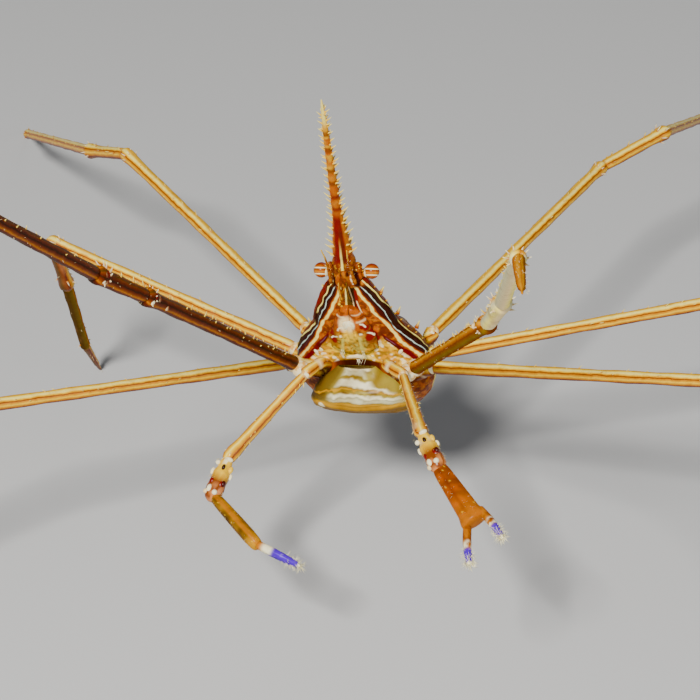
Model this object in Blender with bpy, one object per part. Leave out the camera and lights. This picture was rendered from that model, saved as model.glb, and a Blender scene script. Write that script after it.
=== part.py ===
"""Yellowline arrow crab, life size and still: one object for each named part.

The crab is drawn in millimetres in two frames. The body's own frame has its
origin midway between the eyes, +X to the crab's left, +Y to its back and +Z
along its snout. The world's frame has the floor at z = 0 and the crab facing -Y.
"""
import math
import random

import bmesh
import bpy
from mathutils import Euler, Matrix, Vector

MM = 0.001
GAP = 0.3
random.seed(7)

# How the body is held: its eyes' height over the floor and its three turns
EYE_HEIGHT = 39.0
BODY_TURNS = Euler((math.radians(17.5), math.radians(-6.5), math.radians(-12.5)), "XYZ")

# The shell, from the snout's root to the tail end: place, half width, back, belly
SHELL_STATIONS = (
    (1.5, 1.15, 0.85, 0.8),
    (0.6, 1.3, 1.0, 1.05),
    (-0.45, 1.5, 1.1, 1.3),
    (-1.1, 2.2, 1.2, 1.42),
    (-2.4, 2.9, 1.3, 1.7),
    (-4.2, 3.7, 1.45, 2.1),
    (-5.6, 4.15, 1.5, 2.4),
    (-6.4, 4.3, 1.55, 2.6),
    (-7.6, 5.05, 1.8, 2.9),
    (-9.2, 6.1, 2.4, 3.2),
    (-10.8, 6.8, 3.1, 3.8),
    (-12.6, 7.15, 3.9, 4.5),
    (-14.6, 7.1, 4.5, 4.7),
    (-16.6, 6.5, 4.6, 4.1),
    (-18.6, 5.2, 4.1, 2.8),
    (-20.2, 3.4, 3.2, 1.6),
    (-21.0, 1.8, 2.2, 0.6),
)
SHELL_SIDES = 28
MARGIN_DROP = 1.1
BACK_CURVE = 1.5
BELLY_CURVE = 0.8
CUT_POINT = Vector((0.0, -2.4, -10.8))
CUT_SLOPE = math.radians(41.5)
BELLY_PLANE = 4.6
# Small spines on the shell's left half: place along, out and up, and sideways lean
SHELL_SPINES = ((-1.1, 1.5, 0.4, 0.9), (-3.6, 2.9, 0.3, 0.5), (-6.9, 4.1, 0.4, 0.4), (-9.6, 5.6, 0.8, 0.4))
BACK_SPINE = Vector((0.0, 3.4, -12.2))
# The raised rim under the mouth: its middle, half width, drop at its ends and radius
ARCH_MIDDLE = Vector((0.0, -3.15, -9.7))
ARCH_HALF = 2.6
ARCH_DROP = 0.9
ARCH_RADIUS = 0.38

# The snout
SNOUT_LENGTH = 22.2
SNOUT_WAY = Vector((0.067, 0.058, 0.996)).normalized()
SNOUT_ROOT = 1.5
SNOUT_RADII = (
    (0.0, 1.15), (0.06, 0.98), (0.12, 0.86), (0.23, 0.64), (0.32, 0.48), (0.55, 0.4), (0.8, 0.3), (1.0, 0.1),
)
SNOUT_SPINE = 0.75
SNOUT_SPINES_A_SIDE = 20

# The eyes, on short stalks
EYE_SPAN = 2.6
EYE_RADIUS = 0.78
STALK_ROOT = 1.85
STALK_RADIUS = 0.4

# Feelers and mouthparts
FEELER_ROOT = Vector((1.25, -1.75, 0.2))
FEELER_LENGTH = 5.2
FEELER_RADIUS = 0.28
SMALL_FEELER_ROOT = Vector((0.4, -2.1, -1.9))
SMALL_FEELER_LENGTH = 2.4
MOUTH_TOP = -3.2
MOUTH_END = -9.0
MOUTH_WIDTHS = ((0.0, 0.9), (0.25, 1.6), (0.6, 2.4), (0.85, 2.5), (1.0, 1.9))
MOUTH_THICKNESS = 0.75

# The tail, folded under the belly as a broad dome of rings
TAIL_TOP = -10.2
TAIL_END = -17.8
TAIL_WIDTHS = ((0.0, 1.9), (0.1, 2.8), (0.2, 3.9), (0.3, 4.6), (0.5, 5.3), (0.7, 5.2), (0.88, 4.3), (1.0, 2.6))
TAIL_HEIGHTS = ((0.0, 0.5), (0.1, 1.1), (0.3, 2.1), (0.45, 2.2), (0.6, 1.6), (0.75, 0.95), (0.88, 0.6), (1.0, 0.35))
TAIL_RINGS = 5

# First joints of each limb in the body's frame, for its left side
SOCKETS = {
    "cheliped": Vector((4.8, -6.6, -8.4)),
    "leg2": Vector((6.3, -4.6, -9.6)),
    "leg3": Vector((7.4, -3.2, -11.2)),
    "leg4": Vector((7.3, -0.8, -12.0)),
    "leg5": Vector((7.0, 2.6, -12.8)),
}
SOCKET_SHIFTS = {
    "cheliped_left": Vector((0.75, 0.0, 0.2)),
    "cheliped_right": Vector((0.35, 0.0, 0.0)),
    "leg5_left": Vector((-0.6, 0.0, 0.0)),
}
STUB_ROOTS = {
    "cheliped": (Vector((3.3, -3.2, -11.2)), Vector((3.5, -4.9, -8.9))),
    "leg2": (Vector((4.2, -3.4, -12.2)),),
    "leg3": (Vector((4.8, -2.6, -13.6)),),
    "leg4": (Vector((4.8, -0.6, -14.8)),),
    "leg5": (Vector((4.6, 1.6, -16.2)),),
}
STUB_RADIUS = {"cheliped": 0.66, "leg2": 0.9, "leg3": 0.85, "leg4": 0.85, "leg5": 0.8}

# Lengths of each limb's pieces, outwards, and their radii at root, middle and end
LENGTHS = {
    "cheliped": (12.0, 4.2, 7.2, 4.8),
    "leg2": (36.0, 9.0, 33.0, 13.0),
    "leg3": (37.0, 9.0, 33.0, 14.0),
    "leg4": (30.0, 7.5, 21.0, 8.5),
    "leg5": (37.5, 9.5, 37.5, 17.0),
}
LEG_PIECES = ("merus", "carpus", "propodus", "dactylus")
LEG_RADII = {
    "merus": (0.66, 0.6, 0.69),
    "carpus": (0.64, 0.66, 0.72),
    "propodus": (0.6, 0.56, 0.52),
    "dactylus": (0.44, 0.38, 0.2),
}
FRONT_LEG_SCALE = 1.1
# Spines on each leg piece: how many along it, their length, and how many ring its end
LEG_SPINES = {"merus": (9, 0.8, 4), "carpus": (2, 0.8, 3), "propodus": (6, 0.55, 2), "dactylus": (0, 0.0, 0)}
FRONT_LEG_SPINES = {"merus": (13, 0.8, 5), "carpus": (4, 0.8, 4), "propodus": (9, 0.6, 4), "dactylus": (0, 0.0, 0)}
ARM_SPINES = {"merus": (6, 0.6, 3), "carpus": (5, 0.65, 4)}
ARM_RADII = {"merus": (0.5, 0.58, 0.7), "carpus": (0.7, 1.0, 0.85)}

# Compass heading and rise of each piece in degrees: 0 is +X and -90 faces the
# viewer. A walking leg's last piece drops to the floor by itself.
POSES = {
    "cheliped_right": ((-135, -24), (-116, -33), (-47, -21), (-27, -12)),
    "cheliped_left": ((-82, 7), (-68, -16), (-60, -17), (-81, -3)),
    "leg2_right": ((-119, 42), (-125, 42), (-114, 43), (-104, 12)),
    "leg2_left": ((-78, 41), (-82, 46), (-91, 40), (-92, 22)),
    "leg3_right": ((-152, 10), (-150, -12), (-148, -42), (-146, None)),
    "leg3_left": ((-24, 13), (-26, -14), (-28, -48), (-30, None)),
    "leg4_right": ((152, 8), (66, -70), (89, -53), (77, None)),
    "leg4_left": ((11, 5), (16, -35), (24, -64), (30, None)),
    "leg5_right": ((123.5, 3.5), (123.5, -24.5), (109, -26.5), (97, None)),
    "leg5_left": ((58.5, 0.5), (36.5, 7.5), (72.5, -26), (76, None)),
}

# Which way each hand's broad face looks, how far its fixed and movable fingers
# turn from the middle in degrees, and how far their roots lie from its middle
CLAW_FACES = {"right": Vector((0.6, 0.65, 0.4)), "left": Vector((0.0, -0.82, 0.57))}
CLAW_GAPE = {"right": (7.0, 7.0), "left": (19.0, 16.0)}
CLAW_ROOTS = {"right": 0.5, "left": 1.0}
PALM_SHARES = (0.0, 0.17, 0.5, 0.82, 1.0)
PALM_RADII = {"right": (0.72, 0.85, 0.95, 0.98, 0.85), "left": (0.72, 0.85, 1.0, 1.15, 1.5)}
PALM_FLATNESS = 0.72
FINGER_SHARES = (0.0, 0.3, 0.6, 0.85, 1.0)
FINGER_RADII = (0.42, 0.42, 0.36, 0.28, 0.12)
FIXED_FINGER_SUNK = 0.8

LEG_SIDES = 8
MITRE_ROOM = 1.25
LIFTED_TIP_RADIUS = 0.1

COLOURS = {
    "shell": (0.55, 0.22, 0.06),
    "belly": (0.72, 0.6, 0.4),
    "tail": (0.55, 0.5, 0.18),
    "snout": (0.6, 0.16, 0.04),
    "leg": (0.8, 0.5, 0.12),
    "eye": (0.75, 0.2, 0.05),
    "claw": (0.5, 0.26, 0.06),
    "feeler": (0.6, 0.2, 0.06),
}


def clear_scene():
    """Removes what the new file starts with."""
    for thing in list(bpy.data.objects):
        bpy.data.objects.remove(thing, do_unlink=True)


def body_matrix():
    """The body's frame in the world, in millimetres."""
    return Matrix.Translation((0.0, 0.0, EYE_HEIGHT)) @ BODY_TURNS.to_matrix().to_4x4()


BODY = body_matrix()


def way(heading, rise):
    """A unit vector from a compass heading and a rise in degrees."""
    h = math.radians(heading)
    r = math.radians(rise)
    return Vector((math.cos(h) * math.cos(r), math.sin(h) * math.cos(r), math.sin(r)))


def object_from(name, vertices, faces):
    """A mesh object in the scene from points in millimetres."""
    mesh = bpy.data.meshes.new(name)
    mesh.from_pydata([tuple(v) for v in vertices], [], faces)
    mesh.validate()
    solid = bmesh.new()
    solid.from_mesh(mesh)
    bmesh.ops.recalc_face_normals(solid, faces=solid.faces)
    solid.to_mesh(mesh)
    solid.free()
    made = bpy.data.objects.new(name, mesh)
    bpy.context.scene.collection.objects.link(made)
    return made


def bridged(name, rings):
    """A closed solid from rings of equal count, its two ends capped flat."""
    count = len(rings[0])
    vertices = [p for ring in rings for p in ring]
    faces = []
    for r in range(len(rings) - 1):
        low = r * count
        for k in range(count):
            after = (k + 1) % count
            faces.append((low + k, low + after, low + count + after, low + count + k))
    faces.append(tuple(range(count - 1, -1, -1)))
    faces.append(tuple(range(len(vertices) - count, len(vertices))))
    return object_from(name, vertices, faces)


def between(table, share):
    """A value read off a table of (place, value) pairs."""
    for (a, low), (b, high) in zip(table, table[1:]):
        if share <= b:
            t = (share - a) / (b - a)
            return low + (high - low) * t
    return table[-1][1]


def across_of(direction, face=Vector((0.0, 0.0, 1.0))):
    """Two unit vectors square to a direction, the second nearest to face."""
    side = direction.cross(face)
    if side.length < 0.05:
        side = direction.cross(Vector((0.0, 1.0, 0.0)))
    side.normalize()
    return side, side.cross(direction).normalized()


def on_plane(point, direction, plane):
    """A point slid along a direction onto a plane, given by a point and a normal."""
    place, normal = plane
    return point + direction * ((place - point).dot(normal) / direction.dot(normal))


def tube(name, path, radii, sides=LEG_SIDES, ends=(None, None), face=Vector((0, 0, 1)), flat=1.0):
    """A tapered tube along a path. An end plane mitres that end."""
    rings = []
    last = len(path) - 1
    for i, point in enumerate(path):
        before = path[max(i - 1, 0)]
        after = path[min(i + 1, last)]
        run = (after - before).normalized()
        side, up = across_of(run, face)
        ring = []
        for k in range(sides):
            angle = 2 * math.pi * (k + 0.5) / sides
            offset = side * math.cos(angle) + up * math.sin(angle) * flat
            ring.append(point + offset * radii[i])
        plane = ends[0] if i == 0 else ends[1] if i == last else None
        if plane:
            ring = [on_plane(p, run, plane) for p in ring]
        rings.append(ring)
    return bridged(name, rings)


def spine(root, direction, length, radius, sides=4):
    """A slim cone whose base is sunk below its root."""
    direction = direction.normalized()
    side, up = across_of(direction)
    base = root - direction * radius * 1.1
    ring = []
    for k in range(sides):
        angle = 2 * math.pi * k / sides
        ring.append(base + (side * math.cos(angle) + up * math.sin(angle)) * radius)
    tip = root + direction * length
    vertices = ring + [tip]
    faces = [(k, (k + 1) % sides, sides) for k in range(sides)]
    faces.append(tuple(range(sides - 1, -1, -1)))
    return object_from("spine", vertices, faces)


def ball(name, centre, radius, rings=8, sides=14, stretch=Vector((1, 1, 1))):
    """A round solid with its poles along Z."""
    rows = []
    for r in range(1, rings):
        polar = math.pi * r / rings
        row = []
        for k in range(sides):
            angle = 2 * math.pi * k / sides
            unit = Vector((math.sin(polar) * math.cos(angle), math.sin(polar) * math.sin(angle), math.cos(polar)))
            row.append(centre + Vector(unit * stretch) * radius)
        rows.append(row)
    return bridged(name, rows)


def largest_closed(mesh):
    """Keeps only the closed surface with the most volume."""
    solid = bmesh.new()
    solid.from_mesh(mesh)
    bmesh.ops.remove_doubles(solid, verts=solid.verts, dist=0.0001)
    waiting = set(solid.faces)
    groups = []
    while waiting:
        seed = waiting.pop()
        group = {seed}
        edge_of = [seed]
        while edge_of:
            face = edge_of.pop()
            for edge in face.edges:
                for other in edge.link_faces:
                    if other in waiting:
                        waiting.discard(other)
                        group.add(other)
                        edge_of.append(other)
        groups.append(group)

    def volume(group):
        total = 0.0
        for face in group:
            a = face.verts[0].co
            for b, c in zip(face.verts[1:], face.verts[2:]):
                total += a.dot(b.co.cross(c.co)) / 6
        return abs(total)

    groups.sort(key=volume, reverse=True)
    for group in groups[1:]:
        bmesh.ops.delete(solid, geom=list(group), context="FACES")
    loose = [v for v in solid.verts if not v.link_faces]
    bmesh.ops.delete(solid, geom=loose, context="VERTS")
    solid.to_mesh(mesh)
    solid.free()


def combine(base, others, operation, solver="EXACT"):
    """Applies one Boolean of a collection of closed meshes to base, then drops them."""
    if not others:
        return base
    group = bpy.data.collections.new("pieces")
    bpy.context.scene.collection.children.link(group)
    for other in others:
        bpy.context.scene.collection.objects.unlink(other)
        group.objects.link(other)
    cut = base.modifiers.new("combine", "BOOLEAN")
    cut.operation = operation
    cut.solver = solver
    cut.operand_type = "COLLECTION"
    cut.collection = group
    graph = bpy.context.evaluated_depsgraph_get()
    mesh = bpy.data.meshes.new_from_object(base.evaluated_get(graph))
    base.modifiers.clear()
    base.data = mesh
    for other in list(group.objects):
        bpy.data.objects.remove(other, do_unlink=True)
    bpy.data.collections.remove(group)
    largest_closed(base.data)
    return base


def sliced(base, point, normal):
    """Cuts away what lies on the normal's side of a plane and caps the cut."""
    solid = bmesh.new()
    solid.from_mesh(base.data)
    geometry = solid.verts[:] + solid.edges[:] + solid.faces[:]
    bmesh.ops.bisect_plane(solid, geom=geometry, plane_co=point, plane_no=normal, clear_outer=True)
    open_edges = [e for e in solid.edges if e.is_boundary]
    bmesh.ops.holes_fill(solid, edges=open_edges)
    bmesh.ops.recalc_face_normals(solid, faces=solid.faces)
    solid.to_mesh(base.data)
    solid.free()
    return base


def finish(made, name, colour):
    """Names a node, gives it its own material and smooth shading."""
    made.name = name
    made.data.name = name
    material = bpy.data.materials.new(name)
    material.use_nodes = True
    shader = material.node_tree.nodes["Principled BSDF"]
    shader.inputs["Base Color"].default_value = (*COLOURS[colour], 1.0)
    shader.inputs["Roughness"].default_value = 0.3
    shader.inputs["Metallic"].default_value = 0.0
    made.data.materials.clear()
    made.data.materials.append(material)
    made.data.shade_smooth()
    made.data.set_sharp_from_angle(angle=math.radians(35))
    return made


def in_body(made):
    """Moves a solid drawn in the body's frame into the world."""
    made.data.transform(BODY)
    return made


def shell_ring(z, half, back, belly):
    """One ring of the shell, widest at a low margin, with a keeled back."""
    ring = []
    for k in range(SHELL_SIDES):
        angle = 2 * math.pi * k / SHELL_SIDES
        c = math.cos(angle)
        s = math.sin(angle)
        x = half * math.copysign(abs(c) ** 0.9, c)
        height = back if s > 0 else belly
        y = height * math.copysign(abs(s) ** (BACK_CURVE if s > 0 else BELLY_CURVE), s)
        ring.append(Vector((x, y - MARGIN_DROP * min(half / 3.5, 1) * (1 - abs(s)), z)))
    return ring


def whole_body(name):
    """The shell and chest as one round solid, before they are parted."""
    return bridged(name, [shell_ring(*station) for station in SHELL_STATIONS])


CUT_NORMAL = Vector((0.0, -math.sin(CUT_SLOPE), -math.cos(CUT_SLOPE)))


def both_sides():
    """The two sides of the crab by name, with the sign of X."""
    return (("left", 1.0), ("right", -1.0))


def mirrored(point, sign):
    return Vector((point.x * sign, point.y, point.z))


def limb_joints(kind, side):
    """World points of a limb's joints from its socket to its tip."""
    sign = 1.0 if side == "left" else -1.0
    socket = mirrored(SOCKETS[kind], sign)
    socket += SOCKET_SHIFTS.get(f"{kind}_{side}", Vector())
    joints = [BODY @ socket]
    for length, (heading, rise) in zip(LENGTHS[kind], POSES[f"{kind}_{side}"]):
        if rise is None:
            rise = -math.degrees(math.asin(joints[-1].z / length))
        joints.append(joints[-1] + way(heading, rise) * length)
    return joints


def stub(kind, side, extra, reach):
    """The first short pieces of a limb, from inside the chest out to its socket."""
    sign = 1.0 if side == "left" else -1.0
    joints = limb_joints(kind, side)
    run = (joints[1] - joints[0]).normalized()
    path = [BODY @ mirrored(p, sign) for p in STUB_ROOTS[kind]]
    path.append(joints[0])
    radius = STUB_RADIUS[kind] + extra
    radii = [radius * 0.9] * len(STUB_ROOTS[kind]) + [radius]
    if reach:
        path.append(joints[0] + run * reach)
        radii.append(radius)
        return tube("stub", path, radii)
    end = (joints[0] - run * GAP / 2, run)
    return tube("stub", path, radii, ends=(None, end))


def mouth_arch(extra):
    """The chest's raised rim, arched under the mouth."""
    steps = [k / 3 - 1 for k in range(7)]
    path = [BODY @ (ARCH_MIDDLE + Vector((ARCH_HALF * t, 0.0, -ARCH_DROP * t * t))) for t in steps]
    return tube("arch", path, [ARCH_RADIUS + extra] * len(path), sides=6)


def make_shell():
    """The shell over the back and face, cleared round the limbs' roots."""
    made = whole_body("carapace")
    sliced(made, CUT_POINT - CUT_NORMAL * GAP / 2, CUT_NORMAL)
    sliced(made, Vector((0, 0, SNOUT_ROOT - GAP)), Vector((0, 0, 1)))
    in_body(made)
    rooms = [stub(kind, side, GAP + 0.03, 7.0) for kind in SOCKETS for side, _ in both_sides()]
    rooms.append(mouth_arch(GAP + 0.05))
    combine(made, rooms, "DIFFERENCE", "MANIFOLD")
    spines = []
    turn = BODY.to_3x3()
    for _, sign in both_sides():
        for z, x, y, lean in SHELL_SPINES:
            spines.append(spine(BODY @ Vector((sign * x, y, z)), turn @ Vector((sign * lean, 0.4, 0.75)), 0.8, 0.26))
    spines.append(spine(BODY @ BACK_SPINE, turn @ Vector((0, 1, 0.3)), 0.9, 0.35))
    combine(made, spines, "UNION")
    finish(made, "carapace", "shell")


def make_chest():
    """The chest behind and under the shell, with the stubs of all ten limbs."""
    made = whole_body("thorax")
    sliced(made, CUT_POINT + CUT_NORMAL * GAP / 2, -CUT_NORMAL)
    sliced(made, Vector((0, -BELLY_PLANE, 0)), Vector((0, -1, 0)))
    in_body(made)
    stubs = [stub(kind, side, 0.0, 0.0) for kind in SOCKETS for side, _ in both_sides()]
    stubs.append(mouth_arch(0.0))
    combine(made, stubs, "UNION", "MANIFOLD")
    finish(made, "thorax", "belly")


def make_tail():
    """The folded tail: a broad dome with a groove between its rings."""
    rows = 4 * TAIL_RINGS
    rings = []
    for i in range(rows + 1):
        t = i / rows
        z = TAIL_TOP + (TAIL_END - TAIL_TOP) * t
        groove = 0.12 * max(0.0, math.cos(2 * math.pi * TAIL_RINGS * t)) ** 3
        half = between(TAIL_WIDTHS, t)
        height = between(TAIL_HEIGHTS, t) - groove
        back = -(min(belly_at(z), BELLY_PLANE) + GAP + 0.05)
        ring = []
        for k in range(15):
            angle = math.pi * k / 14
            ring.append(Vector((half * math.cos(angle), back - 0.12 - height * math.sin(angle) ** 0.8, z)))
        ring.append(Vector((-half * 0.92, back, z)))
        ring.append(Vector((half * 0.92, back, z)))
        rings.append(ring)
    made = in_body(bridged("abdomen", rings))
    finish(made, "abdomen", "tail")


def make_snout():
    """The long snout with rows of spinules along both sides."""
    root = Vector((0, 0, SNOUT_ROOT))
    places = (0.0, 0.07, 0.19, 0.31, 0.43, 0.55, 0.68, 0.8, 0.9, 1.0)
    path = [BODY @ (root + SNOUT_WAY * SNOUT_LENGTH * s) for s in places]
    radii = [between(SNOUT_RADII, s) for s in places]
    turn = BODY.to_3x3()
    end = (path[0], turn @ Vector((0, 0, 1)))
    made = tube("rostrum", path, radii, ends=(end, None), face=turn @ Vector((0, 1, 0)))
    spines = []
    for k in range(SNOUT_SPINES_A_SIDE):
        share = 0.05 + 0.87 * k / (SNOUT_SPINES_A_SIDE - 1)
        middle = root + SNOUT_WAY * SNOUT_LENGTH * share
        radius = between(SNOUT_RADII, share)
        for _, sign in both_sides():
            shift = 0.5 if sign > 0 else 0.0
            place = middle + SNOUT_WAY * shift
            out = Vector((sign, 0.15 * math.sin(2.1 * k), 0.0)).normalized()
            lean = (out + SNOUT_WAY * 0.75).normalized()
            size = SNOUT_SPINE * (1.15 - 0.45 * share) * random.uniform(0.85, 1.15)
            spines.append(spine(BODY @ (place + out * radius * 0.8), turn @ lean, size, 0.2 - 0.08 * share))
    combine(made, spines, "UNION")
    finish(made, "rostrum", "snout")


def make_eyes():
    """Round eyes on short stalks beside the snout's root."""
    for side, sign in both_sides():
        centre = Vector((sign * EYE_SPAN, 0.0, 0.0))
        made = ball("eye", centre, EYE_RADIUS)
        path = [Vector((sign * STALK_ROOT, -0.05, -0.25)), Vector((sign * (EYE_SPAN - 0.1), 0, -0.05))]
        stalk = tube("stalk", path, [STALK_RADIUS, STALK_RADIUS * 1.2], sides=10)
        combine(made, [stalk], "UNION")
        finish(in_body(made), f"eye_{side}", "eye")


def make_feelers():
    """A long and a short pair of feelers under the snout's root."""
    for side, sign in both_sides():
        root = mirrored(FEELER_ROOT, sign)
        bend = [Vector((sign * (0.02 * t * t - 0.06), -0.02 * t, 1.0)) for t in (0, 1, 2, 3)]
        path = [root]
        for step in bend:
            path.append(path[-1] + step.normalized() * FEELER_LENGTH / 4)
        radii = [FEELER_RADIUS, FEELER_RADIUS, FEELER_RADIUS * 0.85, FEELER_RADIUS * 0.7, 0.1]
        made = in_body(tube("antenna", path, radii, sides=6))
        finish(made, f"antenna_{side}", "feeler")
        root = mirrored(SMALL_FEELER_ROOT, sign)
        half = SMALL_FEELER_LENGTH / 2
        path = [root, root + Vector((0, -0.1, half)), root + Vector((0, 0.15, 2 * half))]
        made = in_body(tube("antennule", path, [0.25, 0.25, 0.12], sides=6))
        finish(made, f"antennule_{side}", "feeler")


def belly_at(z):
    """How far the face stands out on the middle line at a place along the body."""
    table = [(station[0], station[3]) for station in reversed(SHELL_STATIONS)]
    return between(table, z)


def make_mouthparts():
    """The two outer mouthparts, as plates that close over the mouth."""
    for side, sign in both_sides():
        rings = []
        for share, width in MOUTH_WIDTHS:
            z = MOUTH_TOP + (MOUTH_END - MOUTH_TOP) * share
            back = -belly_at(z) - GAP
            thick = MOUTH_THICKNESS * (0.6 + 0.4 * math.sin(math.pi * share))
            inner = sign * GAP / 2
            outer = sign * width
            middle = (inner + outer) / 2
            rings.append([
                Vector((inner, back, z)),
                Vector((outer, back + 0.05, z)),
                Vector((outer, back - thick * 0.5, z)),
                Vector((middle, back - thick, z)),
                Vector((inner, back - thick * 0.85, z)),
            ])
        made = in_body(bridged("maxilliped", rings))
        finish(made, f"maxilliped_{side}", "belly")


def mitre(before, joint, after):
    """The plane that halves the bend at a joint."""
    one = (joint - before).normalized()
    two = (after - joint).normalized()
    return (one + two).normalized()


def leg_spines(start, run, length, radius, numbers):
    """Forward-leaning spines along a leg piece, and a ring of them near its end."""
    rows, size, end_ring = numbers
    side, up = across_of(run)
    spines = []
    for k in range(rows):
        share = 0.1 + 0.8 * (k + 0.5 * random.random()) / rows
        angle = math.radians(25 + 130 * (k % 2) + random.uniform(-15, 15))
        out = side * math.cos(angle) + up * math.sin(angle)
        root = start + run * length * share + out * radius * 0.75
        spines.append(spine(root, out + run * 0.9, size * random.uniform(0.8, 1.2), 0.2))
    for k in range(end_ring):
        angle = math.radians(-20 + 220 * k / max(end_ring - 1, 1))
        out = side * math.cos(angle) + up * math.sin(angle)
        root = start + run * (length - 1.0) + out * radius * 0.8
        spines.append(spine(root, out + run * 0.7, size * 1.2, 0.24))
    return spines


def leg_piece(name, joints, i, radii, planes, numbers):
    """One piece of a leg as a tube between two joints, with its spines."""
    start, end = joints[i], joints[i + 1]
    run = (end - start).normalized()
    length = (end - start).length
    near = max(0.08, MITRE_ROOM / length)
    shares = (0.0, near, 0.5, 1 - near, 1.0)
    table = ((0.0, radii[0]), (0.5, radii[1]), (1 - near, radii[1] + (radii[2] - radii[1]) * 0.6), (1.0, radii[2]))
    path = [start + run * length * s for s in shares]
    sizes = [between(table, s) for s in shares]
    made = tube(name, path, sizes, ends=planes)
    combine(made, leg_spines(start, run, length, radii[1], numbers), "UNION")
    finish(made, name, "leg")


def piece_planes(joints, i, last_plane):
    """The planes that part a limb's piece from its neighbours, a gap apart."""
    run = (joints[i + 1] - joints[i]).normalized()
    first = run if i == 0 else mitre(joints[i - 1], joints[i], joints[i + 1])
    start = (joints[i] + first * GAP / 2, first)
    if i + 2 < len(joints):
        normal = mitre(joints[i], joints[i + 1], joints[i + 2])
        return start, (joints[i + 1] - normal * GAP / 2, normal)
    return start, last_plane


def make_walking_legs():
    """Four pairs of walking legs, of four pieces each."""
    for kind in ("leg2", "leg3", "leg4", "leg5"):
        scale = FRONT_LEG_SCALE if kind == "leg2" else 1.0
        for side, _ in both_sides():
            joints = limb_joints(kind, side)
            stands = POSES[f"{kind}_{side}"][3][1] is None
            foot = (joints[4], Vector((0, 0, 1))) if stands else None
            for i, piece in enumerate(LEG_PIECES):
                radii = [r * scale for r in LEG_RADII[piece]]
                if piece == "dactylus" and not stands:
                    radii[2] = LIFTED_TIP_RADIUS
                planes = piece_planes(joints, i, foot)
                spines = FRONT_LEG_SPINES[piece] if kind == "leg2" else LEG_SPINES[piece]
                leg_piece(f"{kind}_{side}_{piece}", joints, i, radii, planes, spines)


def make_claws():
    """The two slender arms with their hands, fixed finger and movable finger."""
    for side, _ in both_sides():
        joints = limb_joints("cheliped", side)
        for i, piece in enumerate(("merus", "carpus")):
            planes = piece_planes(joints, i, None)
            leg_piece(f"cheliped_{side}_{piece}", joints, i, ARM_RADII[piece], planes, ARM_SPINES[piece])
        palm_run = (joints[3] - joints[2]).normalized()
        face = CLAW_FACES[side]
        across, _ = across_of(palm_run, face)
        start, _ = piece_planes(joints, 2, None)
        path = [joints[2] + palm_run * LENGTHS["cheliped"][2] * s for s in PALM_SHARES]
        radii = PALM_RADII[side]
        palm = tube("palm", path, radii, sides=10, ends=(start, None), face=face, flat=PALM_FLATNESS)
        finger_run = (joints[4] - joints[3]).normalized()
        reach = LENGTHS["cheliped"][3]
        spread, gape = (math.radians(a) for a in CLAW_GAPE[side])
        fixed_way = finger_run * math.cos(spread) - across * math.sin(spread)
        root = joints[3] - across * CLAW_ROOTS[side] - palm_run * FIXED_FINGER_SUNK
        length = reach + FIXED_FINGER_SUNK
        curve = [root + fixed_way * length * s + across * 0.5 * s * s for s in FINGER_SHARES]
        finger = tube("finger", curve, FINGER_RADII, face=face)
        combine(palm, [finger], "UNION")
        finish(palm, f"cheliped_{side}_palm", "claw")
        move_way = finger_run * math.cos(gape) + across * math.sin(gape)
        root = joints[3] + across * CLAW_ROOTS[side] + palm_run * GAP
        curve = [root + move_way * reach * s - across * 0.6 * s * s for s in FINGER_SHARES]
        mover = tube("mover", curve, FINGER_RADII, ends=((root, palm_run), None), face=face)
        finish(mover, f"cheliped_{side}_finger", "claw")


def centre_on_floor():
    """Moves the whole crab so its box's bottom centre is the origin, and scales it to metres."""
    nodes = list(bpy.context.scene.collection.objects)
    low = Vector((math.inf, math.inf, math.inf))
    high = -low
    for node in nodes:
        for vertex in node.data.vertices:
            low = Vector(map(min, low, vertex.co))
            high = Vector(map(max, high, vertex.co))
    middle = (low + high) / 2
    shift = Matrix.Translation((-middle.x, -middle.y, 0.0))
    for node in nodes:
        node.data.transform(Matrix.Scale(MM, 4) @ shift)


clear_scene()
make_shell()
make_chest()
make_tail()
make_snout()
make_eyes()
make_feelers()
make_mouthparts()
make_walking_legs()
make_claws()
centre_on_floor()
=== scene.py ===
"""The looks of the yellowline arrow crab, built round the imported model.

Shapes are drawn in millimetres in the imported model's frame. The body's own frame
has its origin midway between the eyes, +X to the crab's left, +Y to its back and
+Z along its snout. Two attributes carry the markings: "place" holds how far a
point lies up and to the front of its limb's middle line, and how far along it,
and "paint" a colour whose alpha says how much it covers the limb's stripes.
"""

import math
import random

import bpy
import numpy as np
from mathutils import Euler, Matrix, Vector


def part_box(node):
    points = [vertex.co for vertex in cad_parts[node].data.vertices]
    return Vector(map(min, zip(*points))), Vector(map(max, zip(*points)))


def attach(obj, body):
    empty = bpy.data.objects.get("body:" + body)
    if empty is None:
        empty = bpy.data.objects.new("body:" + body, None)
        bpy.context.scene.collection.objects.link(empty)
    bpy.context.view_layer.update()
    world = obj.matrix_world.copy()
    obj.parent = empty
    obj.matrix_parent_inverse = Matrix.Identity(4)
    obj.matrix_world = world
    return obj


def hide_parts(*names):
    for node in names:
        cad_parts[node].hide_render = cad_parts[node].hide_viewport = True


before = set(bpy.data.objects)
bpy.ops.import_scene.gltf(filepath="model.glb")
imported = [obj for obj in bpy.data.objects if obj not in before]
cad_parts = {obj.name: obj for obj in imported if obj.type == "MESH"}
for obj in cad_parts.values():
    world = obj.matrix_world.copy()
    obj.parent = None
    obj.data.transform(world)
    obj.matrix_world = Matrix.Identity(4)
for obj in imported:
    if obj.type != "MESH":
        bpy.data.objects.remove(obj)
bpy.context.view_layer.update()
random.seed(11)
MM = 0.001
GAP = 0.3

# The two sides of the crab by name, with the sign of X
SIDES = (("left", 1.0), ("right", -1.0))

# The body's frame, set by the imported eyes
BODY_TURNS = Euler((math.radians(17.5), math.radians(-6.5), math.radians(-12.5)), "XYZ")


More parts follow.
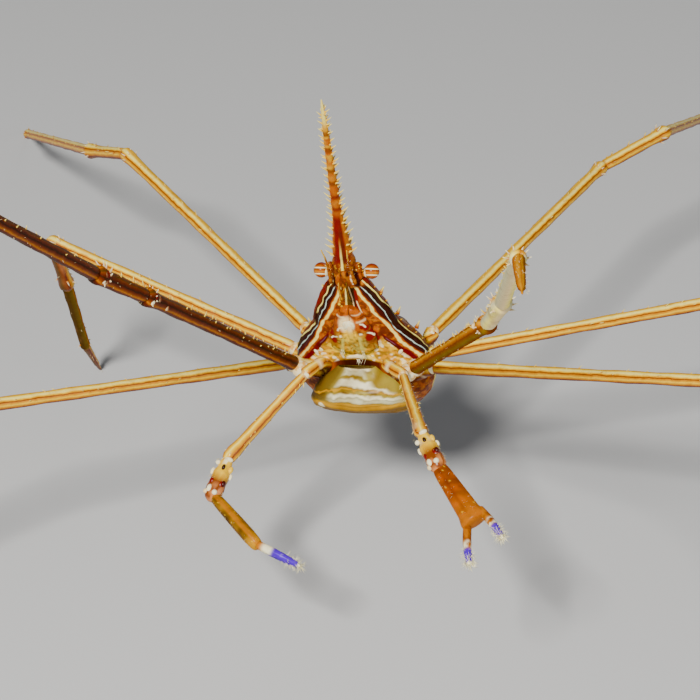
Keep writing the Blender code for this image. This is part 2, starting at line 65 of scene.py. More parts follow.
def eyes_middle():
    """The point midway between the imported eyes, in millimetres."""
    total = Vector()
    for side, _ in SIDES:
        low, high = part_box(f"eye_{side}")
        total += (low + high) / 2
    return total / 2 / MM


EYES = eyes_middle()
EYE_HEIGHT = 39.0
SHIFT = Vector((EYES.x, EYES.y, 0.0))
BODY = Matrix.Translation(SHIFT + Vector((0, 0, EYE_HEIGHT))) @ BODY_TURNS.to_matrix().to_4x4()
TURN = BODY.to_3x3()


def on_body(x, y, z):
    """The world's point at a place of the body's frame."""
    return BODY @ Vector((x, y, z))


def turned(x, y, z):
    """The world's direction for one of the body's frame."""
    return TURN @ Vector((x, y, z))


# The shell, from the snout's root to the tail end: place, half width, back, belly
SHELL_STATIONS = (
    (1.5, 1.15, 0.85, 0.8),
    (0.6, 1.3, 1.0, 1.05),
    (-0.45, 1.5, 1.1, 1.3),
    (-1.1, 2.2, 1.2, 1.42),
    (-2.4, 2.9, 1.3, 1.7),
    (-4.2, 3.7, 1.45, 2.1),
    (-5.6, 4.15, 1.5, 2.4),
    (-6.4, 4.3, 1.55, 2.6),
    (-7.6, 5.05, 1.8, 2.9),
    (-9.2, 6.1, 2.4, 3.2),
    (-10.8, 6.8, 3.1, 3.8),
    (-12.6, 7.15, 3.9, 4.5),
    (-14.6, 7.1, 4.5, 4.7),
    (-16.6, 6.5, 4.6, 4.1),
    (-18.6, 5.2, 4.1, 2.8),
    (-20.2, 3.4, 3.2, 1.6),
    (-21.0, 1.8, 2.2, 0.6),
)
SHELL_TOP = SHELL_STATIONS[0][0]
SHELL_END = SHELL_STATIONS[-1][0]
MARGIN_DROP = 1.1
BACK_CURVE = 1.5
BELLY_CURVE = 0.8
BELLY_PLANE = 4.6

# The snout
SNOUT_LENGTH = 22.2
SNOUT_WAY = Vector((0.067, 0.058, 0.996)).normalized()
SNOUT_ROOT = 1.5
SNOUT_RADII = (
    (0.0, 1.15), (0.06, 0.98), (0.12, 0.86), (0.23, 0.64), (0.32, 0.48), (0.55, 0.4), (0.8, 0.3), (1.0, 0.1),
)

# Eyes, feelers and mouthparts
EYE_SPAN = 2.6
EYE_RADIUS = 0.78
STALK_ROOT = 1.85
FEELER_ROOT = Vector((1.25, -1.75, 0.2))
FEELER_LENGTH = 5.2
FEELER_BENDS = 4
FEELER_STEPS = 48
SMALL_FEELER_ROOT = Vector((0.4, -2.1, -1.9))
SMALL_FEELER_LENGTH = 2.4
MOUTH_TOP = -3.2
MOUTH_END = -9.0
MOUTH_WIDTHS = ((0.0, 0.9), (0.25, 1.6), (0.6, 2.4), (0.85, 2.5), (1.0, 1.9))
MOUTH_THICKNESS = 0.75
MOUTH_GRID = (110, 64)
RIM_RADIUS = 0.323
RIM_FRONT = -3.15
RIM_STEPS = 60

# The folded tail
TAIL_TOP = -10.2
TAIL_END = -17.8
TAIL_GRID = (130, 90)
TAIL_WIDTHS = ((0.0, 1.9), (0.1, 2.8), (0.2, 3.9), (0.3, 4.6), (0.5, 5.3), (0.7, 5.2), (0.88, 4.3),
               (1.0, 2.6))
TAIL_HEIGHTS = ((0.0, 0.5), (0.1, 1.1), (0.3, 2.1), (0.45, 2.2), (0.6, 1.6), (0.75, 0.95), (0.88, 0.6),
                (1.0, 0.35))

# Limbs: first joints in the body's frame, the stubs' roots and the pieces' lengths
SOCKETS = {
    "cheliped": Vector((4.8, -6.6, -8.4)),
    "leg2": Vector((6.3, -4.6, -9.6)),
    "leg3": Vector((7.4, -3.2, -11.2)),
    "leg4": Vector((7.3, -0.8, -12.0)),
    "leg5": Vector((7.0, 2.6, -12.8)),
}
SOCKET_SHIFTS = {
    "cheliped_left": Vector((0.75, 0.0, 0.2)),
    "cheliped_right": Vector((0.35, 0.0, 0.0)),
    "leg5_left": Vector((-0.6, 0.0, 0.0)),
}
STUB_ROOTS = {
    "cheliped": (Vector((3.3, -3.2, -11.2)), Vector((3.5, -4.9, -8.9))),
    "leg2": (Vector((4.2, -3.4, -12.2)),),
    "leg3": (Vector((4.8, -2.6, -13.6)),),
    "leg4": (Vector((4.8, -0.6, -14.8)),),
    "leg5": (Vector((4.6, 1.6, -16.2)),),
}
STUB_RADIUS = {"cheliped": 0.66, "leg2": 0.9, "leg3": 0.85, "leg4": 0.85, "leg5": 0.8}
LENGTHS = {
    "cheliped": (12.0, 4.2, 7.2, 4.8),
    "leg2": (36.0, 9.0, 33.0, 13.0),
    "leg3": (37.0, 9.0, 33.0, 14.0),
    "leg4": (30.0, 7.5, 21.0, 8.5),
    "leg5": (37.5, 9.5, 37.5, 17.0),
}
LEG_PIECES = ("merus", "carpus", "propodus", "dactylus")
LEG_RADII = {
    "merus": (0.66, 0.6, 0.69),
    "carpus": (0.64, 0.66, 0.72),
    "propodus": (0.6, 0.56, 0.52),
    "dactylus": (0.44, 0.38, 0.2),
}
FRONT_LEG_SCALE = 1.1
ARM_RADII = {"merus": (0.5, 0.58, 0.7), "carpus": (0.7, 1.0, 0.85)}
POSES = {
    "cheliped_right": ((-135, -24), (-116, -33), (-47, -21), (-27, -12)),
    "cheliped_left": ((-82, 7), (-68, -16), (-60, -17), (-81, -3)),
    "leg2_right": ((-119, 42), (-125, 42), (-114, 43), (-104, 12)),
    "leg2_left": ((-78, 41), (-82, 46), (-91, 40), (-92, 22)),
    "leg3_right": ((-152, 10), (-150, -12), (-148, -42), (-146, None)),
    "leg3_left": ((-24, 13), (-26, -14), (-28, -48), (-30, None)),
    "leg4_right": ((152, 8), (66, -70), (89, -53), (77, None)),
    "leg4_left": ((11, 5), (16, -35), (24, -64), (30, None)),
    "leg5_right": ((123.5, 3.5), (123.5, -24.5), (109, -26.5), (97, None)),
    "leg5_left": ((58.5, 0.5), (36.5, 7.5), (72.5, -26), (76, None)),
}
CLAW_FACES = {"right": Vector((0.6, 0.65, 0.4)), "left": Vector((0.0, -0.82, 0.57))}
CLAW_GAPE = {"right": (7.0, 7.0), "left": (19.0, 16.0)}
CLAW_ROOTS = {"right": 0.5, "left": 1.0}
PALM_SHARES = (0.0, 0.17, 0.5, 0.82, 1.0)
PALM_RADII = {"right": (0.72, 0.85, 0.95, 0.98, 0.85), "left": (0.72, 0.85, 1.0, 1.15, 1.5)}
PALM_FLATNESS = 0.72
# How much the palm narrows at its first and last rows
PALM_ENDS = {0: 0.6, 1: 0.72, 2: 0.85, 3: 0.95, -4: 0.98, -3: 0.92, -2: 0.75, -1: 0.4}
FINGER_SHARES = (0.0, 0.3, 0.6, 0.85, 1.0)
FINGER_RADII = (0.42, 0.42, 0.36, 0.28, 0.12)
FINGER_STEPS = 40
FIXED_FINGER_SUNK = 0.8

# Camera: the photograph's height over the horizon, distance, and where the eyes lie
VIEW_RISE = math.radians(35.0)
VIEW_DISTANCE = 300.0
VIEW_WIDTH = 70.0
EYES_IN_VIEW = (-0.35, 7.95)
SENSOR = 36.0
VIEW_UP = Vector((0.0, math.sin(VIEW_RISE), math.cos(VIEW_RISE)))
VIEW_TOWARD = Vector((0.0, -math.cos(VIEW_RISE), math.sin(VIEW_RISE)))


def colour(red, green, blue):
    """A linear colour with full cover."""
    return (red, green, blue, 1.0)


# The palette
CLEAR = (0.0, 0.0, 0.0, 0.0)
ORANGE = colour(0.44, 0.085, 0.001)
ORANGE_BROWN = colour(0.22, 0.045, 0.001)
RED_BROWN = colour(0.12, 0.014, 0.001)
MAROON = colour(0.06, 0.004, 0.001)
DARK_BROWN = colour(0.032, 0.009, 0.001)
BLACK = colour(0.03, 0.005, 0.001)
ICE_BLUE = colour(0.6, 0.8, 0.7)
CREAM = colour(1.0, 0.84, 0.2)
PALE_GOLD = colour(0.95, 0.6, 0.02)
GOLD = colour(0.72, 0.33, 0.002)
GOLDEN_ORANGE = colour(0.52, 0.16, 0.001)
CRIMSON = colour(0.15, 0.002, 0.004)
BLOOD = colour(0.2, 0.004, 0.001)
OLIVE = colour(0.24, 0.14, 0.004)
OLIVE_PALE = colour(0.56, 0.48, 0.08)
OLIVE_BROWN = colour(0.1, 0.045, 0.001)
PINK = colour(0.75, 0.28, 0.08)
PINK_WHITE = colour(0.95, 0.72, 0.36)
PEARL = colour(1.0, 0.93, 0.6)
OLIVE_WHITE = colour(0.62, 0.6, 0.36)
VIOLET = colour(0.085, 0.006, 0.56)
VIOLET_PALE = colour(0.3, 0.2, 0.7)
HAIR = colour(0.85, 0.74, 0.4)


def mixed(one, two, share):
    """Colours between two, for a number or an array of shares."""
    share = np.clip(np.asarray(share, float), 0, 1)[..., None]
    return np.asarray(one) * (1 - share) + np.asarray(two) * share


def between(table, place):
    """Values read off a table of (place, value) pairs, in either order of places."""
    rows = sorted(table)
    return np.interp(place, [r[0] for r in rows], [r[1] for r in rows])


def way(heading, rise):
    """A unit vector from a compass heading and a rise in degrees."""
    h = math.radians(heading)
    r = math.radians(rise)
    return Vector((math.cos(h) * math.cos(r), math.sin(h) * math.cos(r), math.sin(r)))


def across_of(direction, face=Vector((0.0, 0.0, 1.0))):
    """Two unit vectors square to a direction, the second nearest to face."""
    side = direction.cross(face)
    if side.length < 0.05:
        side = direction.cross(Vector((0.0, 1.0, 0.0)))
    side.normalize()
    return side, side.cross(direction).normalized()


def radial(side, up, degrees):
    """A unit vector at an angle from side towards up."""
    angle = math.radians(degrees)
    return side * math.cos(angle) + up * math.sin(angle)


def run_of(start, end):
    """The direction and the length from one point to another."""
    return (end - start).normalized(), (end - start).length


def facing(run):
    """The direction square to run that points most at the viewer."""
    return (VIEW_TOWARD - run * VIEW_TOWARD.dot(run)).normalized()


def shown(name, data):
    """A new object in the scene."""
    thing = bpy.data.objects.new(name, data)
    bpy.context.scene.collection.objects.link(thing)
    return thing


def mirrored(point, sign):
    """A point of the crab's left side, or its mirror image for a sign of -1."""
    return Vector((point.x * sign, point.y, point.z))


def limb_joints(kind, side):
    """World points of a limb's joints from its socket to its tip."""
    sign = dict(SIDES)[side]
    socket = mirrored(SOCKETS[kind], sign)
    socket += SOCKET_SHIFTS.get(f"{kind}_{side}", Vector())
    joints = [BODY @ socket]
    for length, (heading, rise) in zip(LENGTHS[kind], POSES[f"{kind}_{side}"]):
        if rise is None:
            rise = -math.degrees(math.asin(joints[-1].z / length))
        joints.append(joints[-1] + way(heading, rise) * length)
    return joints


RIPPLE_WAVES = 5


def ripples(points, size, seed):
    """A smooth, seeded up-and-down value of about -1 to 1 at each point."""
    rng = np.random.default_rng(seed)
    total = np.zeros(len(points))
    for weight, wave in ((0.4, size), (0.4 * 0.55, size / 2)):
        for _ in range(RIPPLE_WAVES):
            direction = rng.normal(size=3)
            direction /= np.linalg.norm(direction)
            phase = rng.uniform(0, 6.28)
            total += weight * np.sin(points @ direction * (2 * math.pi / wave) + phase)
    return total


def rippled(one, two, points, size, seed, middle=0.5, reach=0.5):
    """Colours that waver between two over the points."""
    return mixed(one, two, middle + reach * ripples(points, size, seed))


def grid_faces(rows, columns, closed=True):
    """Faces of a grid of points, closed round its columns or not."""
    faces = []
    for r in range(rows - 1):
        for c in range(columns if closed else columns - 1):
            after = (c + 1) % columns
            faces.append((r * columns + c, r * columns + after, (r + 1) * columns + after,
                          (r + 1) * columns + c))
    return faces


class Heap:
    """Points, faces and markings of one piece, gathered in millimetres."""

    def __init__(self):
        self.points = []
        self.places = []
        self.paints = []
        self.faces = []
        self.spots = []
        self.count = 0

    def add(self, points, faces, places, paints, spots=None):
        """Adds a lump of surface. Its spots are places on an unwrap, for bristles."""
        if spots is not None:
            self.spots.append(spots)
        points = np.asarray([tuple(p) for p in points] if isinstance(points, list) else points, float)
        count = len(points)
        self.points.append(points)
        self.places.append(np.zeros((count, 3)) if places is None else np.asarray(places, float))
        paints = np.asarray(paints, float)
        self.paints.append(np.broadcast_to(paints, (count, 4)) if paints.ndim == 1 else paints)
        base = self.count
        self.faces.extend([tuple(i + base for i in face) for face in faces])
        self.count += count

    def made(self, name, look, slot, nodes=()):
        """Makes the piece an object that rides on the root and stands for its nodes."""
        mesh = bpy.data.meshes.new(name)
        points = np.concatenate(self.points) * MM
        mesh.from_pydata(points.tolist(), [], self.faces)
        mesh.attributes.new("place", "FLOAT_VECTOR", "POINT").data.foreach_set(
            "vector", np.concatenate(self.places).astype(np.float32).ravel())
        mesh.attributes.new("paint", "FLOAT_COLOR", "POINT").data.foreach_set(
            "color", np.concatenate(self.paints).astype(np.float32).ravel())
        if self.spots:
            spots = np.concatenate(self.spots).astype(np.float32)
            corners = np.zeros(len(mesh.loops), np.int32)
            mesh.loops.foreach_get("vertex_index", corners)
            mesh.uv_layers.new(name="OFBake").data.foreach_set("uv", spots[corners].ravel())
        mesh.materials.append(MATERIALS[look])
        mesh.shade_smooth()
        thing = shown(name, mesh)
        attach(thing, "root")
        if nodes:
            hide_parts(*nodes)

    def dresses(self, name, look, slot):
        """Makes the piece an object that stands for the one node that it's named after."""
        self.made(f"{name}_shape", look, slot, [name])


def closed_faces(rows, columns):
    """Faces of a grid whose rows are rings, closed at both ends."""
    last = (rows - 1) * columns
    ends = [tuple(range(columns - 1, -1, -1)), tuple(range(last, last + columns))]
    return grid_faces(rows, columns) + ends


def tube(heap, path, radii, sides, paints, face=Vector((0, 0, 1)), front=None, squash=1.0, swell=None):
    """A tube along a path, coloured by a function of its points and their places."""
    path = [Vector(p) for p in path]
    last = len(path) - 1
    total = sum((b - a).length for a, b in zip(path, path[1:])) or 1.0
    angles = 2 * np.pi * np.arange(sides) / sides
    rings = []
    places = []
    gone = 0.0
    for i, point in enumerate(path):
        run = (path[min(i + 1, last)] - path[max(i - 1, 0)]).normalized()
        if i:
            gone += (point - path[i - 1]).length
        side, up = across_of(run, face)
        if front is not None and side.dot(front) < 0:
            side = -side
        radius = radii[i] * (1.0 if swell is None else 1 + swell(angles, gone))
        ring = np.outer(np.cos(angles) * radius, side) + np.outer(np.sin(angles) * radius * squash, up)
        rings.append(ring + np.asarray(point))
        places.append(np.stack([np.sin(angles), np.cos(angles), np.full(sides, gone / total)], axis=1))
    points = np.concatenate(rings)
    faces = closed_faces(len(path), sides)
    places = np.concatenate(places)
    heap.add(points, faces, places, paints(points, places))


THORN_SIDES = 6
THORN_STEPS = (-0.25, 0.0, 0.3, 0.65)
THORN_WIDTHS = (1.25, 1.0, 0.7, 0.36)


def spine(heap, root, direction, length, radius, foot, tip, bend=Vector((0, 0, 0))):
    """A slim thorn that bends a little, with the colours of its foot and tip."""
    direction = direction.normalized()
    side, up = across_of(direction)
    points = []
    paints = []
    angles = 2 * np.pi * np.arange(THORN_SIDES) / THORN_SIDES
    for step, width in zip(THORN_STEPS, THORN_WIDTHS):
        centre = root + direction * (step * length) + bend * (max(step, 0) ** 2 * length)
        ring = np.outer(np.cos(angles), side) + np.outer(np.sin(angles), up)
        points.append(ring * radius * width + np.asarray(centre))
        paints.append(np.tile(mixed(foot, tip, max(step, 0) * 1.4), (THORN_SIDES, 1)))
    points.append(np.asarray([root + direction * length + bend * length]))
    paints.append(np.asarray([tip]))
    rows = len(THORN_STEPS)
    faces = grid_faces(rows, THORN_SIDES)
    top = rows * THORN_SIDES
    last = top - THORN_SIDES
    faces += [(last + k, last + (k + 1) % THORN_SIDES, top) for k in range(THORN_SIDES)]
    faces.append(tuple(range(THORN_SIDES - 1, -1, -1)))
    heap.add(np.concatenate(points), faces, None, np.concatenate(paints))


def ball(heap, centre, radius, tint, stretch=(1, 1, 1), turn=None, rings=10, sides=16):
    """A round lump. Its tint is a colour or a function of unit points."""
    polar = np.pi * np.arange(1, rings) / rings
    angles = 2 * np.pi * np.arange(sides) / sides
    unit = np.stack([
        np.outer(np.sin(polar), np.cos(angles)).ravel(),
        np.outer(np.sin(polar), np.sin(angles)).ravel(),
        np.outer(np.cos(polar), np.ones(sides)).ravel(),
    ], axis=1)
    unit = np.concatenate([unit, [[0, 0, 1], [0, 0, -1]]])
    rows = rings - 1
    faces = grid_faces(rows, sides)
    top = rows * sides
    faces += [(top, k, (k + 1) % sides)[::-1] for k in range(sides)]
    low = (rows - 1) * sides
    faces += [(top + 1, low + k, low + (k + 1) % sides) for k in range(sides)]
    points = unit * np.asarray(stretch) * radius
    if turn is not None:
        points = points @ np.asarray(turn).T
    heap.add(points + np.asarray(centre), faces, unit, tint(unit) if callable(tint) else tint)


# A bristle's seven points on the unwrap, round its root's place
PATCH_SIZE = 0.0015
PATCH = np.asarray([(-1, -1), (1, -1), (0, -0.4), (-1, 0.4), (1, 0.4), (0, 0.7), (0, 1)]) * PATCH_SIZE


def hair(heap, root, direction, length, radius, tint=HAIR, *, spot):
    """One fine bristle, with its patch at its root's place on the unwrap of the skin under it."""
    direction = direction.normalized()
    side, up = across_of(direction)
    points = []
    for step, width in ((0.0, 1.0), (0.5, 0.8)):
        centre = root + direction * (length * step)
        for k in range(3):
            angle = 2 * math.pi * k / 3
            points.append(centre + (side * math.cos(angle) + up * math.sin(angle)) * radius * width)
    points.append(root + direction * length)
    faces = grid_faces(2, 3) + [(3, 4, 6), (4, 5, 6), (5, 3, 6), (2, 1, 0)]
    heap.add(points, faces, None, tint, PATCH + np.asarray(spot))


# The unwraps: the body's front in millimetres, and strips for the pieces of a limb
FRONT_WIDTH = 16
FRONT_HEIGHT = 24
FRONT_LOW = -22
STRIPS = 8


def on_face(x, z):
    """The place of a point of the body's front on an unwrap of the shell."""
    return (0.5 + x / FRONT_WIDTH, (z - FRONT_LOW) / FRONT_HEIGHT)


def on_strip(part, around, along):
    """The place on a limb's unwrap of a point on one of its pieces, by its shares round and along it."""
    return ((part + 0.05 + 0.9 * around) / STRIPS, along)


# Materials

def linked(tree, source, target):
    """Joins an output to an input."""
    tree.links.new(source, target)


def node(tree, kind, **values):
    """A shader node with some of its sockets or settings set."""
    made = tree.nodes.new(kind)
    for name, value in values.items():
        if hasattr(made, name):
            setattr(made, name, value)
        else:
            made.inputs[name.replace("_", " ")].default_value = value
    return made


def maths(tree, operation, first, second=None):
    """A Math node. Its operands are sockets or numbers."""
    made = tree.nodes.new("ShaderNodeMath")
    made.operation = operation
    for i, value in enumerate((first, second)):
        if value is None:
            continue
        if isinstance(value, (int, float)):
            made.inputs[i].default_value = value
        else:
            linked(tree, value, made.inputs[i])
    return made.outputs[0]


def mix_colours(tree, factor, first, second, blend="MIX"):
    """A colour Mix node. Its operands are sockets or colours."""
    made = tree.nodes.new("ShaderNodeMix")
    made.data_type = "RGBA"
    made.blend_type = blend
    for name, value in (("Factor", factor), ("A", first), ("B", second)):
        socket = next(s for s in made.inputs if s.name == name and s.enabled)
        if isinstance(value, (int, float, tuple)):
            socket.default_value = value
        else:
            linked(tree, value, socket)
    return next(s for s in made.outputs if s.enabled)


def noise(tree, scale, detail=3.0, rough=0.6):
    """Noise in the object's own frame. The scale is in features a millimetre."""
    where = tree.nodes.new("ShaderNodeTexCoord")
    made = node(tree, "ShaderNodeTexNoise", Scale=scale / MM, Detail=detail, Roughness=rough)
    linked(tree, where.outputs["Object"], made.inputs["Vector"])
    return made.outputs["Fac"]


def material(name, stripes=None, gloss=0.34, coat=0.22, mottle=0.35, mottle_scale=1.6, bump=0.35, grain=5.0,
             ior=1.12):
    """A wet shell: its stripes, if any, under its paint, with mottling and a fine relief."""
    made = bpy.data.materials.new(name)
    made.use_nodes = True
    tree = made.node_tree
    shader = tree.nodes["Principled BSDF"]
    shader.inputs["Coat Weight"].default_value = coat
    shader.inputs["Coat Roughness"].default_value = 0.27
    shader.inputs["Coat IOR"].default_value = 1.4
    shader.inputs["IOR"].default_value = ior
    shader.inputs["Specular IOR Level"].default_value = 0.1
    paint = node(tree, "ShaderNodeAttribute", attribute_name="paint")
    tint = paint.outputs["Color"]
    if stripes:
        place = node(tree, "ShaderNodeAttribute", attribute_name="place")
        parts = tree.nodes.new("ShaderNodeSeparateXYZ")
        linked(tree, place.outputs["Vector"], parts.inputs[0])
        around = maths(tree, "ARCTAN2", parts.outputs["Y"], parts.outputs["X"])
        wave = maths(tree, "MULTIPLY", maths(tree, "SUBTRACT", noise(tree, 0.9, 2.0), 0.5), 0.06)
        share = maths(tree, "MULTIPLY", around, 0.5 / math.pi)
        share = maths(tree, "ADD", maths(tree, "ADD", share, 0.5), wave)
        ramp = tree.nodes.new("ShaderNodeValToRGB")
        stops = ramp.color_ramp.elements
        while len(stops) < len(stripes):
            stops.new(0.5)
        for stop, (position, shade) in zip(stops, stripes):
            stop.position = (position + 1) / 2
            stop.color = shade
        linked(tree, share, ramp.inputs[0])
        tint = mix_colours(tree, paint.outputs["Alpha"], ramp.outputs["Color"], paint.outputs["Color"])
    dark = mix_colours(tree, 1.0, tint, (0.42, 0.3, 0.22, 1.0), "MULTIPLY")
    blotch = node(tree, "ShaderNodeMapRange", From_Min=0.48, From_Max=0.75, To_Max=mottle)
    linked(tree, noise(tree, mottle_scale), blotch.inputs["Value"])
    tint = mix_colours(tree, blotch.outputs[0], tint, dark)
    linked(tree, tint, shader.inputs["Base Color"])
    rough = node(tree, "ShaderNodeMapRange", To_Min=gloss * 0.7, To_Max=gloss * 1.5)
    linked(tree, noise(tree, 2.5), rough.inputs["Value"])
    linked(tree, rough.outputs[0], shader.inputs["Roughness"])
    relief = node(tree, "ShaderNodeBump", Strength=bump, Distance=0.05 * MM)
    linked(tree, noise(tree, grain, 4.0), relief.inputs["Height"])
    linked(tree, relief.outputs[0], shader.inputs["Normal"])
    return made


# Stripes round a limb: -1 and 1 lie below, 0 on top, 0.5 in front and -0.5 behind
# The cream band just past the top is partly the legs' pale stripe and partly a painted highlight
PALE_STRIPES = (
    (-1.0, OLIVE_BROWN), (-0.7, ORANGE_BROWN), (-0.52, GOLDEN_ORANGE), (-0.4, RED_BROWN),
    (-0.32, GOLDEN_ORANGE), (-0.24, GOLD), (-0.16, PALE_GOLD), (-0.06, GOLD), (0.02, PALE_GOLD),
    (0.08, CREAM), (0.16, CREAM), (0.2, PALE_GOLD), (0.24, GOLD),
    (0.27, GOLDEN_ORANGE), (0.3, RED_BROWN), (0.33, GOLDEN_ORANGE), (0.4, GOLD), (0.46, PALE_GOLD),
    (0.52, GOLD), (0.6, GOLDEN_ORANGE), (0.68, RED_BROWN), (0.8, ORANGE_BROWN), (1.0, OLIVE_BROWN),
)
# Stripes of the right front leg: partly its own browns and partly painted shade, darkest in front. The thin
# pale gold band just before the top is a painted highlight
DARK_STRIPES = (
    (-1.0, DARK_BROWN), (-0.3, ORANGE_BROWN), (-0.16, GOLDEN_ORANGE), (-0.09, PALE_GOLD),
    (-0.02, GOLDEN_ORANGE), (0.05, ORANGE_BROWN), (0.12, GOLDEN_ORANGE), (0.18, ORANGE_BROWN),
    (0.26, OLIVE_BROWN), (0.33, ORANGE_BROWN), (0.42, RED_BROWN), (0.5, DARK_BROWN), (0.56, RED_BROWN),
    (0.64, ORANGE_BROWN), (0.72, GOLDEN_ORANGE), (0.8, RED_BROWN), (1.0, DARK_BROWN),
)
# Stripes of the left front leg's first and last pieces: partly their own browns and partly painted shade
BROWN_STRIPES = (
    (-1.0, ORANGE_BROWN), (-0.6, ORANGE_BROWN), (-0.3, GOLDEN_ORANGE), (-0.1, GOLD), (0.05, GOLDEN_ORANGE),
    (0.14, GOLD), (0.24, GOLDEN_ORANGE), (0.3, ORANGE_BROWN), (0.4, GOLD), (0.5, GOLDEN_ORANGE),
    (0.6, ORANGE_BROWN), (0.8, OLIVE), (1.0, ORANGE_BROWN),
)
# The cream band just past the top, between pale gold, is a painted highlight
ARM_STRIPES = (
    (-1.0, OLIVE_BROWN), (-0.5, ORANGE_BROWN), (-0.32, RED_BROWN), (-0.22, GOLDEN_ORANGE), (-0.1, GOLD),
    (0.0, PALE_GOLD), (0.06, CREAM), (0.11, PALE_GOLD), (0.2, GOLD), (0.28, GOLDEN_ORANGE),
    (0.33, RED_BROWN), (0.38, GOLDEN_ORANGE), (0.45, GOLD), (0.5, PALE_GOLD), (0.55, GOLD),
    (0.62, ORANGE_BROWN), (0.75, OLIVE_BROWN), (1.0, OLIVE_BROWN),
)
FRONT_STRIPES = (
    (-1.0, PINK_WHITE), (-0.6, OLIVE_WHITE), (-0.3, CREAM), (-0.05, PALE_GOLD), (0.1, GOLDEN_ORANGE),
    (0.3, GOLD), (0.5, OLIVE_WHITE), (0.75, CREAM), (1.0, PINK_WHITE),
)
OLIVE_STRIPES = (
    (-1.0, OLIVE_BROWN), (-0.4, OLIVE_BROWN), (-0.2, GOLD), (-0.1, OLIVE), (0.2, OLIVE_BROWN), (0.4, OLIVE),
    (0.6, GOLDEN_ORANGE), (0.7, OLIVE), (1.0, OLIVE_BROWN),
)
MATERIALS = {
    "pale": material("pale_limb", PALE_STRIPES, coat=0.5),
    "dark": material("dark_limb", DARK_STRIPES, coat=0.15),
    "brown": material("brown_limb", BROWN_STRIPES, gloss=0.6, coat=0.0, ior=1.1),
    "pale_front": material("pale_front_limb", FRONT_STRIPES, gloss=0.6, coat=0.0, ior=1.1),
    "arm": material("arm", ARM_STRIPES, coat=0.8, mottle=0.2),
    "olive": material("olive_limb", OLIVE_STRIPES, gloss=0.6, coat=0.0, ior=1.2),
    "carpus": material("arm_joint", gloss=0.26, coat=0.8, mottle=0.2),
    "setae": material("setae", gloss=0.4, coat=0.0, mottle=0.0, bump=0.0),
    "shell": material("shell", gloss=0.3, coat=0.22, mottle=0.3, mottle_scale=2.2, grain=4.0),
    "tail": material("tail", gloss=0.36, coat=0.2, mottle=0.3, mottle_scale=1.2, grain=3.0),
    "snout": material("snout", gloss=0.32, coat=0.2, mottle=0.25, mottle_scale=2.5),
    "eye": material("eye", gloss=0.2, coat=0.5, mottle=0.12, bump=0.05),
    "claw": material("claw", gloss=0.34, coat=0.2, mottle=0.35, mottle_scale=1.4),
    "pearl": material("pearl", gloss=0.25, coat=0.5, mottle=0.12, bump=0.15),
}


# The shell and chest in one skin

FACE_END = -11.4
FACE_STEP = 0.075
BODY_STEP = 0.2
STATION_STEP = 0.05
STATION_BLUR = 15
FRONT_TURN = 115
FRONT_COLUMNS = 150
BACK_COLUMNS = 34


def smooth_stations(places):
    """Half width, back and belly of the shell at each place, rounded over the stations."""
    fine = np.arange(SHELL_END, SHELL_TOP + 0.001, STATION_STEP)
    width = STATION_BLUR
    kernel = np.hanning(width + 2)[1:-1]
    kernel /= kernel.sum()
    rows = []
    for i in (1, 2, 3):
        values = between([(station[0], station[i]) for station in SHELL_STATIONS], fine)
        padded = np.pad(values, width // 2, mode="edge")
        rows.append(np.interp(places, fine, np.convolve(padded, kernel, mode="valid")))
    return rows


def belly_at(z):
    """How far the face stands out on the middle line at a place along the body."""
    return between([(station[0], station[3]) for station in SHELL_STATIONS], z)


def skin_grid():
    """The skin's places along the body and its angles from the belly's middle line."""
    face = np.arange(SHELL_TOP, FACE_END, -FACE_STEP)
    rest = np.arange(FACE_END, SHELL_END + 0.01, -BODY_STEP)
    front = np.linspace(0, FRONT_TURN, FRONT_COLUMNS)
    half = np.concatenate([front, np.linspace(FRONT_TURN, 180, BACK_COLUMNS)[1:]])
    angles = np.concatenate([half, -half[-2:0:-1]])
    return np.concatenate([face, rest, [SHELL_END]]), np.radians(angles)


# Lines on the shell, on the crab's left, 1, and right, -1: places along it and
# shares of the way from the belly's middle line to the margin, which lies at 1
ICE_LINES = {
    1: ((-0.5, 0.6), (-0.9, 0.63), (-1.5, 0.68), (-2.0, 0.73), (-2.7, 0.78), (-3.7, 0.82), (-4.4, 0.85),
        (-5.5, 0.84), (-6.9, 0.85), (-8.3, 0.88), (-9.0, 0.89), (-9.8, 0.93), (-14.0, 0.97), (-20.0, 0.98)),
    -1: ((-0.5, 0.44), (-0.9, 0.47), (-1.9, 0.56), (-2.8, 0.65), (-3.8, 0.66), (-4.9, 0.75), (-5.6, 0.75),
         (-6.5, 0.78), (-7.7, 0.82), (-8.7, 0.85), (-10.0, 0.89), (-14.0, 0.95), (-20.0, 0.96)),
}
OUTER_LINES = {
    1: ((-0.6, 0.9), (-1.4, 0.91), (-2.3, 0.94), (-3.0, 0.96), (-3.8, 1.0), (-4.8, 1.03), (-5.9, 1.04),
        (-6.5, 1.0), (-6.9, 0.99), (-8.1, 0.99), (-9.8, 1.01), (-14.0, 1.05), (-20.0, 1.05)),
    -1: ((-0.2, 0.68), (-1.2, 0.7), (-2.4, 0.76), (-3.5, 0.8), (-4.3, 0.85), (-5.5, 0.88), (-6.6, 0.87),
         (-7.4, 0.9), (-8.4, 0.93), (-10.0, 1.0), (-14.0, 1.03), (-20.0, 1.03)),
}
THICK_LINES = {
    1: ((-0.9, 0.4), (-1.9, 0.44), (-2.4, 0.51), (-3.0, 0.57), (-4.1, 0.6), (-4.8, 0.66), (-5.4, 0.7),
        (-6.2, 0.76), (-7.0, 0.77), (-8.0, 0.75), (-8.8, 0.77), (-10.3, 0.84), (-11.5, 0.9), (-14.0, 0.92),
        (-20.0, 0.92)),
    -1: ((-0.6, 0.29), (-1.3, 0.25), (-2.2, 0.34), (-3.0, 0.43), (-4.1, 0.49), (-4.9, 0.57), (-5.5, 0.63),
         (-6.3, 0.7), (-7.0, 0.68), (-8.1, 0.68), (-9.5, 0.74), (-11.0, 0.81), (-14.0, 0.89), (-20.0, 0.9)),
}
